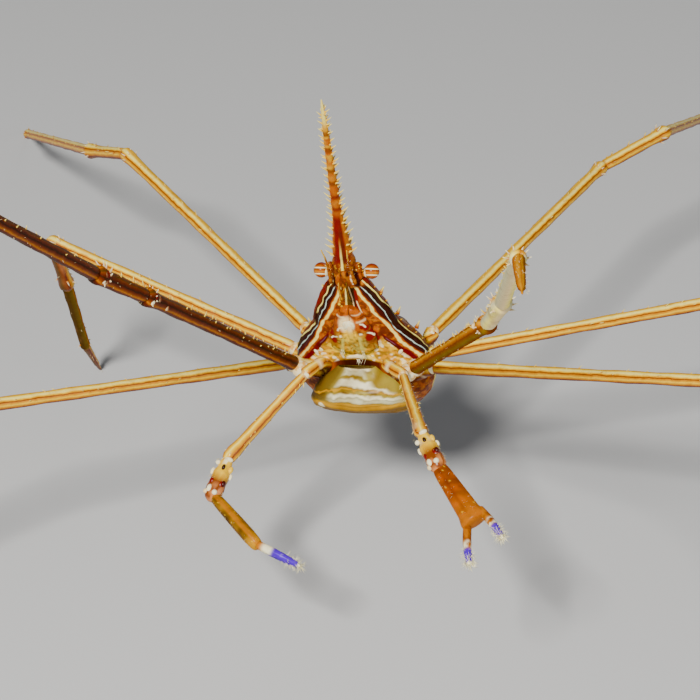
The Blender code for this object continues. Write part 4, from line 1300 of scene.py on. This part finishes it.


# Markings of the mouthparts: spots by x, z and radius, lines as ruled takes them. Some of the lines are
# painted highlights and painted shade
RED_SPOTS = ((-2.2, -6.2, 0.36), (-1.9, -6.95, 0.36), (1.28, -5.15, 0.3), (1.6, -5.45, 0.26),
             (2.2, -6.2, 0.5), (1.85, -6.5, 0.44))
UPPER_LINES = (
    (PINK_WHITE, 0.8, 0.07, 0.12, ((-1.7, -4.25), (-0.5, -4.0))),
    (PINK_WHITE, 0.7, 0.1, 0.15, ((0.8, -4.6), (1.8, -4.65))),
    # The red brown lines lie in creases: painted shade
    (RED_BROWN, 0.8, 0.06, 0.1, ((0.9, -4.2), (1.9, -4.3))),
    (RED_BROWN, 0.7, 0.05, 0.1, ((-1.5, -3.75), (-0.4, -3.6))),
    (PINK_WHITE, 0.6, 0.05, 0.1, ((0.3, -3.8), (1.4, -3.9))),
)
SIDE_LINES = (
    (ORANGE_BROWN, 0.9, 0.09, 0.08, ((2.45, -7.4), (2.6, -8.6))),
    (ORANGE_BROWN, 0.9, 0.06, 0.08, ((2.15, -7.6), (2.2, -8.7))),
)
# White arcs over the red spots: painted highlights
PAINTED_HIGHLIGHT_LINES = (
    (PEARL, 1.0, 0.06, 0.05, ((-1.35, -5.7), (-1.2, -5.35), (-0.95, -5.2), (-0.7, -5.2))),
    (PEARL, 1.0, 0.06, 0.05, ((-2.2, -6.85), (-1.95, -6.6), (-1.5, -6.4))),
    (PEARL, 1.0, 0.06, 0.05, ((1.05, -4.85), (1.3, -4.98), (1.55, -5.3))),
    (PEARL, 1.0, 0.06, 0.05, ((1.7, -5.98), (2.05, -6.2), (2.3, -6.5))),
)
WHITE_DOTS = ((-1.1, -6.3, 0.12), (1.0, -6.0, 0.12))
FRINGES = (((-0.95, -6.7), (-1.1, -7.7), (-1.25, -8.8)), ((0.85, -6.4), (0.88, -7.5), (1.0, -8.8)))
BUMP = Vector((-0.1, -3.1, -4.95))
BRISTLE_ROOT = -9.9


def painted_mouthpart(points):
    """Olive and gold, orange towards the top, with red spots under white arcs, which are painted highlights.
    """
    x, z = points[:, 0], points[:, 2]
    broad = ripples(points, 1.5, 62)
    paints = mixed(OLIVE, GOLD, 0.45 + 0.4 * broad)
    covered(paints, OLIVE_PALE, 0.6 * patches(points, 0.9, 63, 0.3, 0.5) * above(-z, 6.4, 0.8))
    covered(paints, ORANGE, above(z, -5.9, 0.8) * 0.95)
    covered(paints, ORANGE_BROWN, 0.9 * above(np.abs(x), 1.5, 0.5) * above(z, -7.6, 1.0))
    covered(paints, RED_BROWN, 0.6 * patches(points, 0.8, 64, 0.5, 0.3) * above(z, -7.0, 0.8))
    ruled(paints, points, UPPER_LINES)
    covered(paints, PINK_WHITE, above(0.95, np.hypot((x + 0.35) / 0.85, (z + 4.9) / 0.95), 0.4))
    covered(paints, PALE_GOLD, 0.8 * above(0.9, np.hypot((x + 0.1) / 0.8, (z + 6.2) / 0.9), 0.5))
    covered(paints, OLIVE_BROWN, 0.6 * patches(points, 0.45, 66, 0.55, 0.3) * above(-z, 6.2, 0.8))
    ruled(paints, points, SIDE_LINES)
    covered(paints, BLOOD, dotted(points, RED_SPOTS))
    # Painted highlights over the red spots
    ruled(paints, points, PAINTED_HIGHLIGHT_LINES)
    covered(paints, PEARL, dotted(points, WHITE_DOTS))
    ruled(paints, points, [(OLIVE_PALE, 0.9, 0.15, 0.12, path) for path in FRINGES])
    return paints


def make_mouthparts():
    """The two outer mouthparts as rounded plates, with spots and a fringe."""
    rows, columns = MOUTH_GRID
    coat = Heap()
    for side, sign in SIDES:
        heap = Heap()
        points = []
        for share in np.linspace(0, 1, rows):
            z = MOUTH_TOP + (MOUTH_END - MOUTH_TOP) * share
            width = float(between(MOUTH_WIDTHS, share))
            end = min(1.0, math.sqrt(max(0.01, 1 - abs(2 * share - 1) ** 10)))
            back = -float(belly_at(z)) + 0.1
            thick = (MOUTH_THICKNESS * (0.6 + 0.4 * math.sin(math.pi * share)) + GAP) * (0.35 + 0.65 * end)
            groove = 0.07 * math.exp(-((z + 6.0) / 0.12) ** 2)
            for k in range(columns):
                a = 2 * math.pi * k / columns
                c = math.copysign(abs(math.cos(a)) ** 0.8, math.cos(a))
                s = math.copysign(abs(math.sin(a)) ** 0.7, math.sin(a))
                x = 0.01 + (width * end - 0.01) * (0.5 + 0.5 * c)
                lean = 1 - 0.5 * (x / width) ** 3
                points.append((sign * x, back - (thick - groove) * lean * (0.5 - 0.5 * s), z))
        points = np.asarray(points)
        points[:, 1] += 0.03 * ripples(points, 1.1, 61)
        heap.add(in_world(points), closed_faces(rows, columns), None, painted_mouthpart(points))
        for path in FRINGES:
            add_fringe(coat, path, sign)
        heap.dresses(f"maxilliped_{side}", "shell", "belly")
    heap = Heap()
    ball(heap, BODY @ BUMP, 0.52, lambda unit: rippled(PEARL, PINK_WHITE, unit, 0.9, 65, 0.3, 0.7),
         (1.25, 0.6, 1.4), TURN, rings=30, sides=40)
    reach = float(belly_at(-6.8)) + MOUTH_THICKNESS
    body_lump(heap, (0.0, 0.16 - reach, -6.9), (0.42, 0.3, 2.3), 0, painted_mouthpart)
    for _ in range(9):
        x = random.uniform(-0.3, 0.9)
        lean = turned(random.uniform(-0.5, 0.5), -0.5, -0.8)
        root = on_body(x, -3.5, BRISTLE_ROOT)
        hair(coat, root, lean, random.uniform(0.6, 1.0), 0.02, PEARL, spot=on_face(x, BRISTLE_ROOT))
    heap.made("mouth_pearl", "pearl", "belly")
    coat.made("face_setae", "setae", "belly")


def add_fringe(coat, path, sign):
    """Fine pale bristles down a line of one mouthpart."""
    if path[0][0] * sign < 0:
        return
    for _ in range(90):
        i = random.randint(0, len(path) - 2)
        u = random.random()
        x = path[i][0] * (1 - u) + path[i + 1][0] * u + random.uniform(-0.14, 0.14)
        z = path[i][1] * (1 - u) + path[i + 1][1] * u
        root = on_body(x, -float(belly_at(z)) - MOUTH_THICKNESS, z)
        lean = turned(random.uniform(-0.4, 0.4), -0.25, -1.0)
        tint = random.choice((HAIR, OLIVE_PALE))
        hair(coat, root, lean, random.uniform(0.3, 0.6), 0.018, tint, spot=on_face(x, z))


# Limbs

NECK = 0.62


def limb_profile(length, radii, knob, tip):
    """Places along a limb's piece and its radii there, from its neck to its knob."""
    r0, r1, r2 = radii
    places = [-0.15, 0.0, 0.18, 0.4, 0.75, 1.3]
    sizes = [r0 * NECK * 0.7, r0 * NECK, r0 * NECK * 1.1, r0 * 0.85, r0 * 0.97, r0]
    body = np.linspace(1.9, length - 2.2, max(4, int(length / 1.1)))
    for s in body:
        t = s / length
        places.append(float(s))
        sizes.append(r0 + (r1 - r0) * t * 2 if t < 0.5 else r1 + (r2 - r1) * (t * 2 - 1) * 0.6)
    if tip:
        places += [length - 1.2, length - 0.5, length - 0.1, length]
        sizes += [r2 * 1.3, r2 * 1.1, r2 * 0.8, r2 * 0.5]
        return places, sizes
    places += [length - 1.3, length - 0.8, length - 0.35, length, length + r2 * 0.5, length + r2 * 0.85]
    sizes += [r2 * 1.02, r2 * 1.1, r2 * knob, r2 * knob * 0.97, r2 * knob * 0.72, r2 * knob * 0.3]
    return places, sizes


def limb_front(run):
    """The direction square to a limb's piece that faces the viewer's side most."""
    side, _ = across_of(run)
    return side if side.y < 0 else -side


def limb_piece(heap, start, end, radii, joint_shade, seed, sides=24, knob=1.16, tip=False):
    """A limb's piece as a tube with a neck and a knob, pale or pink at its joint."""
    run, length = run_of(start, end)
    places, sizes = limb_profile(length, radii, knob, tip)
    path = [start + run * p for p in places]
    rng = np.random.default_rng(seed)
    phases = rng.uniform(0, 6.28, 4)

    def swell(angles, gone):
        broad = 0.035 * np.sin(2 * angles + phases[0] + gone * 0.9)
        narrow = 0.02 * np.sin(5 * angles + phases[1] + gone * 2.1)
        return broad + narrow + 0.02 * math.sin(gone * 1.3 + phases[2])

    def tint(points, around):
        along = around[:, 2] * length
        paints = np.tile(np.asarray(joint_shade), (len(points), 1))
        neck = np.clip((0.75 - along) / 0.3, 0, 1)
        knob_share = np.clip((along - length + 0.05) / 0.4, 0, 1) * (0 if tip else 0.85)
        patch = 0.35 * np.clip(ripples(points, 2.2, seed) - 0.75, 0, 1)
        paints[:, 3] = np.clip(np.maximum(neck, knob_share) + patch, 0, 1)
        return paints

    tube(heap, path, sizes, sides=sides, front=limb_front(run), paints=tint, swell=swell)


def thorny(heap, start, end, radius, rows, size, end_ring, spread=(10, 170), foot=GOLDEN_ORANGE):
    """Forward-leaning thorns along a limb's piece, and a ring of them near its end."""
    run, length = run_of(start, end)
    side, up = across_of(run)
    for k in range(rows):
        share = 0.07 + 0.86 * (k + 0.6 * random.random()) / rows
        out = radial(side, up, random.uniform(*spread))
        root = start + run * length * share + out * radius * 0.9
        spine(heap, root, out + run * 0.8, size * random.uniform(0.5, 1.2), size * 0.2, foot, CREAM,
              run * 0.25)
    for k in range(end_ring):
        out = radial(side, up, -30 + 240 * (k + random.uniform(-0.2, 0.2)) / max(end_ring - 1, 1))
        root = start + run * (length - random.uniform(0.3, 1.3)) + out * radius * 1.05
        spine(heap, root, out + run * 0.6, size * random.uniform(0.8, 1.3), size * 0.22, foot, PEARL,
              run * 0.3)


def bristly(coat, part, start, end, radius, count, long):
    """Fine bristles along a limb's piece, on its own strip of the limb's unwrap."""
    run = (end - start).normalized()
    side, up = across_of(run)
    for _ in range(count):
        turn = random.uniform(0, 360)
        share = random.uniform(0.03, 0.97)
        out = radial(side, up, turn)
        root = start + (end - start) * share + out * radius * 0.9
        spot = on_strip(part, turn / 360, share)
        hair(coat, root, out + run * random.uniform(0.1, 0.9), long * random.uniform(0.5, 1.2), 0.018,
             spot=spot)


# Looks of the legs and pieces that aren't pale gold. The front legs' dark and brown looks are partly their
# brown under sides, turned to the viewer, and partly painted shade
LEG_STYLES = {
    "leg2_right": "dark",
    "leg2_left": "pale_front",
    "leg2_left_merus": "brown",
    "leg2_left_dactylus": "brown",
    "leg4_right_propodus": "olive",
}
JOINT_SHADES = {"leg4_right": PINK, "leg2_right": RED_BROWN, "leg2_left": ORANGE_BROWN}
# Thorns of a piece: count along it, length and count round its end
LEG_THORNS = {"merus": (22, 0.5, 8), "carpus": (7, 0.6, 7), "propodus": (14, 0.4, 5)}
FRONT_THORNS = {"merus": (46, 0.62, 10), "carpus": (14, 0.7, 10), "propodus": (30, 0.5, 8)}


def make_legs():
    """Four pairs of walking legs."""
    seed = 100
    for kind in ("leg2", "leg3", "leg4", "leg5"):
        scale = FRONT_LEG_SCALE if kind == "leg2" else 1.0
        for side, _ in SIDES:
            limb = f"{kind}_{side}"
            joints = limb_joints(kind, side)
            coat = Heap()
            stands = POSES[limb][3][1] is None
            for i, piece in enumerate(LEG_PIECES):
                seed += 1
                heap = Heap()
                radii = [r * scale * 1.04 for r in LEG_RADII[piece]]
                start, end = joints[i], joints[i + 1]
                if piece == "dactylus":
                    radii[2] = 0.17 if stands else 0.1
                    if stands:
                        end = end + (start - end).normalized() * 0.15
                shade = JOINT_SHADES.get(limb, GOLDEN_ORANGE)
                limb_piece(heap, start, end, radii, shade, seed, tip=piece == "dactylus")
                thorns = FRONT_THORNS if kind == "leg2" else LEG_THORNS
                if piece in thorns:
                    rows, size, ring = thorns[piece]
                    thorny(heap, start, end, radii[1], rows, size, ring)
                bristly(coat, i, start, end, radii[1], 60 if kind == "leg2" else 16, 0.35)
                if kind == "leg2" and piece in ("merus", "carpus"):
                    add_knobs(heap, start, end, radii[1], side)
                style = LEG_STYLES.get(f"{limb}_{piece}", LEG_STYLES.get(limb, "pale"))
                heap.dresses(f"{limb}_{piece}", style, "leg")
            coat.made(f"{limb}_setae", "setae", "leg")


# Knobs of the front legs' pieces: share of the length, angle and radius
KNOBS = ((0.93, 20, 0.3), (0.96, 160, 0.34), (0.99, 90, 0.26), (0.9, 200, 0.28), (0.97, -40, 0.3))


def painted_knob(unit):
    """Pale on one side and dark on the other."""
    return mixed(PINK_WHITE, RED_BROWN, 0.5 + 0.9 * unit[:, 0])


def add_knobs(heap, start, end, radius, body_side):
    """Rounded bumps near the ends of the front legs' pieces, pale with a dark side.

    The right leg has a pearly and a dark red one towards the viewer too; the pearly one is a painted
    highlight.
    """
    run, length = run_of(start, end)
    side, up = across_of(run)
    for share, angle, size in KNOBS:
        out = radial(side, up, angle)
        centre = start + run * length * share + out * radius * 0.95
        ball(heap, centre, size, painted_knob, rings=8, sides=12)
    if body_side == "left":
        return
    toward = facing(run)
    joint = start + run * (length - 0.35)
    # A pearly knob towards the viewer: painted highlight
    ball(heap, joint + toward * radius * 0.72 - up * 0.2, 0.4, PEARL, rings=10, sides=14)
    ball(heap, joint + toward * radius * 0.75 + up * 0.3 - run * 0.2, 0.42, BLOOD, rings=10, sides=14)


def stub_joint(heap, centre, radius):
    """A smooth pale membrane at a joint."""
    def tint(unit):
        paints = rippled(PEARL, PINK_WHITE, unit, 1.2, 71)
        covered(paints, GOLD, 0.8 * patches(unit, 0.9, 72, 0.2, 0.5))
        return paints

    ball(heap, centre, radius, tint, rings=24, sides=32)


def make_limb_roots():
    """The short first pieces of all ten limbs, and the pale skin at their joints."""
    arm = Heap()
    legs = Heap()
    skin = Heap()
    for kind in SOCKETS:
        for side, sign in SIDES:
            joints = limb_joints(kind, side)
            run = (joints[1] - joints[0]).normalized()
            knots = [BODY @ mirrored(p, sign) for p in STUB_ROOTS[kind]] + [joints[0], joints[0] + run * 0.3]
            path = []
            for a, b in zip(knots, knots[1:]):
                steps = max(2, int((b - a).length / 0.35))
                path += [a + (b - a) * (k / steps) for k in range(steps)]
            path.append(knots[-1])
            for _ in range(3):
                inner = [(p + q * 2 + r) / 4 for p, q, r in zip(path, path[1:], path[2:])]
                path = [path[0]] + inner + [path[-1]]
            count = len(path)
            radius = STUB_RADIUS[kind]
            sizes = []
            for k in range(count):
                t = k / (count - 1)
                pinch = 0.16 * math.exp(-((t - 0.62) / 0.05) ** 2)
                end = 1 if t < 0.94 else 0.9 - 0.3 * (t - 0.94) / 0.06
                sizes.append(radius * (0.92 + 0.1 * t - pinch) * end)

            def tint(points, places):
                paints = np.tile(np.asarray(PINK_WHITE), (len(points), 1))
                paints[:, 3] = 0.95 * band(places[:, 2] - 0.62, 0.03, 0.03)
                return paints

            heap = arm if kind == "cheliped" else legs
            tube(heap, path, sizes, sides=28, front=limb_front(run), paints=tint)
            swollen = 1.0 if kind == "leg2" else 0.86
            stub_joint(skin, joints[0] + run * 0.05, radius * swollen)
            if kind == "leg2":
                stub_joint(skin, joints[0] - turned(sign * 0.7, 0.5, 0.2), radius * 1.02)
    arm.made("arm_roots", "arm", "leg")
    legs.made("leg_roots", "pale", "leg")
    skin.made("joint_skin", "pearl", "belly")


def painted_palm(side):
    """The hand's colours: olive or orange brown with gold edges and pale dots."""
    rng = np.random.default_rng(77 if side == "left" else 78)

    def tint(points, places):
        edge, along = places[:, 1], places[:, 2]
        if side == "left":
            paints = rippled(ORANGE_BROWN, ORANGE, points, 1.4, 81, 0.45, 0.45)
            covered(paints, GOLDEN_ORANGE, above(along, 0.7, 0.4) * 0.7)
            covered(paints, RED_BROWN, 0.6 * band(edge - 0.2, 0.12, 0.3) * above(0.85, along, 0.2))
        else:
            paints = rippled(OLIVE_BROWN, GOLD, points * [1, 1, 0.5], 1.4, 81, 0.3, 0.25)
            covered(paints, DARK_BROWN, 0.85 * band(edge - 0.25, 0.12, 0.3) * above(0.85, along, 0.2))
            # A gold streak along one side of the hand: painted highlight
            covered(paints, GOLD, 0.7 * band(edge + 0.25, 0.1, 0.2))
            covered(paints, GOLD, 0.8 * above(along, 0.86, 0.15))
        covered(paints, GOLDEN_ORANGE, np.clip((np.abs(edge) - 0.88) / 0.1, 0, 0.6))
        for _ in range(26 if side == "left" else 10):
            centre = points[rng.integers(len(points))]
            distance = np.linalg.norm(points - centre, axis=1)
            covered(paints, PALE_GOLD, np.clip((0.09 - distance) / 0.05, 0, 0.6))
        covered(paints, PEARL, np.clip((0.035 - along) / 0.03, 0, 0.9))
        return paints

    return tint


def painted_finger(side):
    """Golden or orange brown at its root, then white and deep violet, with a pale tip."""
    white, violet = (0.36, 0.56) if side == "left" else (0.06, 0.3)

    def tint(points, places):
        along = places[:, 2]
        root = ORANGE_BROWN if side == "left" else GOLDEN_ORANGE
        paints = rippled(root, GOLDEN_ORANGE, points, 0.8, 82)
        patch = 0.5 + 0.8 * ripples(points, 0.8, 87) if side == "left" else 1.0
        covered(paints, PEARL, np.clip((along - white) / 0.1, 0, 1) * patch)
        covered(paints, VIOLET, np.clip((along - violet) / 0.08, 0, 1))
        covered(paints, VIOLET_PALE,
                0.6 * patches(points, 0.6, 83, 0.8, 0.3) * above(along, violet + 0.1, 0.1))
        covered(paints, PEARL, np.clip((along - 0.92) / 0.04, 0, 1))
        return paints

    return tint


def fine_curve(knots, count):
    """A smooth path of points through a few knots."""
    knots = [Vector(k) for k in knots]
    spans = len(knots) - 1
    path = []
    for k in range(count):
        t = k / (count - 1) * spans
        i = min(int(t), spans - 1)
        u = t - i
        p0 = knots[max(i - 1, 0)]
        p1, p2 = knots[i], knots[i + 1]
        p3 = knots[min(i + 2, spans)]
        path.append(0.5 * ((2 * p1) + (p2 - p0) * u + (2 * p0 - 5 * p1 + 4 * p2 - p3) * u * u
                           + (3 * p1 - p0 - 3 * p2 + p3) * u ** 3))
    return path


def make_claws():
    """The two arms with their hands and fingers."""
    seed = 300
    for side, _ in SIDES:
        joints = limb_joints("cheliped", side)
        coat = Heap()
        for i, piece in enumerate(("merus", "carpus")):
            seed += 1
            heap = Heap()
            radii = ARM_RADII[piece]
            limb_piece(heap, joints[i], joints[i + 1], radii, PINK_WHITE, seed, sides=32, knob=1.05)
            if piece == "merus":
                thorny(heap, joints[i], joints[i + 1], radii[1], 16, 0.4, 4, (-60, 240), PALE_GOLD)
            bristly(coat, i, joints[i], joints[i + 1], radii[1], 50, 0.4)
            if piece == "carpus":
                heap.paints = [painted_carpus(joints[1], joints[2])(np.concatenate(heap.points), heap)]
                add_carpus_spots(heap, joints[i], joints[i + 1], radii)
            look = "arm" if piece == "merus" else "carpus"
            heap.dresses(f"cheliped_{side}_{piece}", look, "leg")
        palm_run = (joints[3] - joints[2]).normalized()
        face = CLAW_FACES[side]
        across, _ = across_of(palm_run, face)
        length = LENGTHS["cheliped"][2]
        shares = np.concatenate([[-0.02, 0.0, 0.02, 0.05], np.linspace(0.09, 0.93, 40),
                                 [0.96, 0.99, 1.01, 1.02]])
        radii = [float(np.interp(s, PALM_SHARES, PALM_RADII[side])) for s in shares]
        for k, narrow in PALM_ENDS.items():
            radii[k] *= narrow
        heap = Heap()
        path = [joints[2] + palm_run * length * s for s in shares]
        tube(heap, path, radii, sides=40, face=face, squash=PALM_FLATNESS, paints=painted_palm(side))
        finger_run = (joints[4] - joints[3]).normalized()
        reach = LENGTHS["cheliped"][3]
        spread, gape = (math.radians(a) for a in CLAW_GAPE[side])
        fixed_way = finger_run * math.cos(spread) - across * math.sin(spread)
        root = joints[3] - across * CLAW_ROOTS[side] - palm_run * FIXED_FINGER_SUNK
        length = reach + FIXED_FINGER_SUNK
        knots = [root + fixed_way * length * s + across * 0.5 * s * s for s in FINGER_SHARES]
        add_finger(heap, coat, 3, knots, face, across, side)
        bristly(coat, 2, joints[2], joints[3], PALM_RADII[side][2] * 0.85, 110, 0.5)
        heap.dresses(f"cheliped_{side}_palm", "claw", "claw")
        move_way = finger_run * math.cos(gape) + across * math.sin(gape)
        root = joints[3] + across * CLAW_ROOTS[side] + palm_run * GAP * 0.3
        knots = [root + move_way * reach * s - across * 0.6 * s * s for s in FINGER_SHARES]
        heap = Heap()
        add_finger(heap, coat, 4, knots, face, -across, side)
        heap.dresses(f"cheliped_{side}_finger", "claw", "claw")
        coat.made(f"cheliped_{side}_setae", "setae", "claw")


def add_finger(heap, coat, part, knots, face, inward, side):
    """One finger with teeth on its inner edge and tufts of pale bristles at its tip."""
    path = fine_curve(knots, FINGER_STEPS)
    shares = np.linspace(0, 1, FINGER_STEPS)
    radii = [float(np.interp(s, FINGER_SHARES, FINGER_RADII)) for s in shares]
    tube(heap, path, radii, sides=20, face=face, paints=painted_finger(side))
    run = (path[-1] - path[0]).normalized()
    for k in range(9):
        i = 8 + k * 3
        ball(heap, path[i] + inward * radii[i] * 0.85, 0.09, PEARL, rings=6, sides=8)
    for _ in range(160 if side == "left" else 70):
        i = random.randint(20, 38)
        out = Vector((random.gauss(0, 1), random.gauss(0, 1), random.gauss(0, 1))).normalized()
        spot = on_strip(part, random.random(), i / FINGER_STEPS)
        root = path[i] + out * radii[i] * 0.8
        hair(coat, root, out + run * 0.7, random.uniform(0.4, 1.0), 0.026, PEARL, spot=spot)


def painted_carpus(start, end):
    """Yellow and pearly towards the body, orange brown towards the hand."""
    run, length = run_of(start, end)

    def tint(points, heap):
        along = (points - np.asarray(start)) @ np.asarray(run) / length
        paints = rippled(PALE_GOLD, GOLD, points, 0.9, 84, 0.4, 0.5)
        covered(paints, PEARL, 0.9 * patches(points, 1.1, 85, 0.5, 0.3) * above(0.3, along, 0.1))
        covered(paints, ORANGE_BROWN, above(along, 0.62, 0.12))
        covered(paints, PINK, 0.8 * above(along, 0.8, 0.1) * patches(points, 0.8, 86, 0.1, 0.4))
        whole = np.concatenate(heap.paints)
        covered(paints, PEARL, above(whole[:, :3].sum(axis=1), 1.6, 0.2) * (whole[:, 3] > 0.99))
        return paints

    return tint


# Spots of the arm's joint: share of the length, angle, radius, shade, stretch and sink
CARPUS_SPOTS = (
    (0.32, 5, 0.34, PALE_GOLD, (0.9, 1.2, 0.6), 0.7),
    (0.32, 5, 0.27, DARK_BROWN, (0.7, 1.15, 0.8), 0.35),
    (0.72, -34, 0.5, BLOOD, (0.8, 1.1, 0.8), 0.7),
    (0.7, -36, 0.3, MAROON, (0.8, 1.1, 0.8), 0.1),
    (0.7, 55, 0.4, BLOOD, (0.8, 1.1, 0.8), 0.7),
    (0.08, -15, 0.34, PEARL, (1.2, 0.7, 0.8), 0.4),
    (0.22, 75, 0.26, PEARL, (1, 1, 1), 0.1),
    (0.3, -62, 0.3, PALE_GOLD, (0.8, 1.3, 0.8), 0.3),
    (0.45, -80, 0.24, PEARL, (0.8, 1.4, 0.8), 0.1),
    (0.46, 82, 0.26, PEARL, (0.8, 1.5, 0.8), 0.1),
    (0.9, 45, 0.34, PEARL, (0.8, 1.2, 0.8), 0.4),
    (0.97, -5, 0.28, PEARL, (1, 1, 1), 0.3),
    (0.99, 70, 0.26, PINK_WHITE, (1, 1, 1), 0.3),
)


def add_carpus_spots(heap, start, end, radii):
    """Dark spots and pale knobs on an arm's carpus, its second piece in the model."""
    run, length = run_of(start, end)
    toward = facing(run)
    across = run.cross(toward)
    turn = Matrix((across, run, toward)).transposed()
    for share, angle, size, shade, stretch, sink in CARPUS_SPOTS:
        out = radial(toward, across, angle)
        if share < 0.5:
            radius = radii[0] + (radii[1] - radii[0]) * share * 2
        else:
            radius = radii[1] + (radii[2] - radii[1]) * (share - 0.5)
        centre = start + run * length * share + out * (radius - size * sink)
        ball(heap, centre, size, shade, stretch, turn, rings=12, sides=18)


# Stage

FLOOR_REACH = 4.0
FLOOR_TINT = (0.62, 0.63, 0.64, 1.0)
SKY_TINT = (0.82, 0.87, 0.95, 1.0)
SKY_STRENGTH = 0.08
# Lights: name, place in metres, size, power and colour
LIGHTS = (
    ("key", (-0.12, -0.36, 0.4), 0.08, 4.3, (1.0, 0.97, 0.92)),
    ("fill", (0.36, -0.3, 0.2), 0.3, 0.5, (0.96, 0.98, 1.0)),
    ("rim", (0.1, 0.42, 0.34), 0.25, 0.15, (1.0, 0.98, 0.95)),
)


def make_stage():
    """A plain pale floor, soft lights and the photograph's camera."""
    mesh = bpy.data.meshes.new("floor")
    corners = [(x * FLOOR_REACH, y * FLOOR_REACH, 0) for x, y in ((-1, -1), (1, -1), (1, 1), (-1, 1))]
    mesh.from_pydata(corners, [], [(0, 1, 2, 3)])
    floor = shown("floor", mesh)
    surface = bpy.data.materials.new("floor")
    surface.use_nodes = True
    shader = surface.node_tree.nodes["Principled BSDF"]
    shader.inputs["Base Color"].default_value = FLOOR_TINT
    shader.inputs["Roughness"].default_value = 0.9
    mesh.materials.append(surface)
    middle = EYES * MM
    for name, place, size, power, tint in LIGHTS:
        light = bpy.data.lights.new(name, "AREA")
        light.shape = "DISK"
        light.size = size
        light.energy = power
        light.color = tint
        lamp = shown(name, light)
        lamp.location = place
        lamp.rotation_euler = (middle - Vector(place)).to_track_quat("-Z", "Y").to_euler()
    world = bpy.data.worlds.new("studio")
    bpy.context.scene.world = world
    world.use_nodes = True
    sky = world.node_tree.nodes["Background"]
    sky.inputs["Color"].default_value = SKY_TINT
    sky.inputs["Strength"].default_value = SKY_STRENGTH
    lens = bpy.data.cameras.new("camera")
    lens.sensor_width = SENSOR
    lens.lens = SENSOR * VIEW_DISTANCE / VIEW_WIDTH
    lens.clip_start = 0.01
    camera = shown("camera", lens)
    target = EYES - Vector((EYES_IN_VIEW[0], 0, 0)) - VIEW_UP * EYES_IN_VIEW[1]
    camera.location = (target + VIEW_TOWARD * VIEW_DISTANCE) * MM
    camera.rotation_euler = (-VIEW_TOWARD).to_track_quat("-Z", "Y").to_euler()
    bpy.context.scene.camera = camera


make_stage()
make_skin()
make_tail()
make_snout()
make_eyes()
make_feelers()
make_mouthparts()
make_limb_roots()
make_legs()
make_claws()
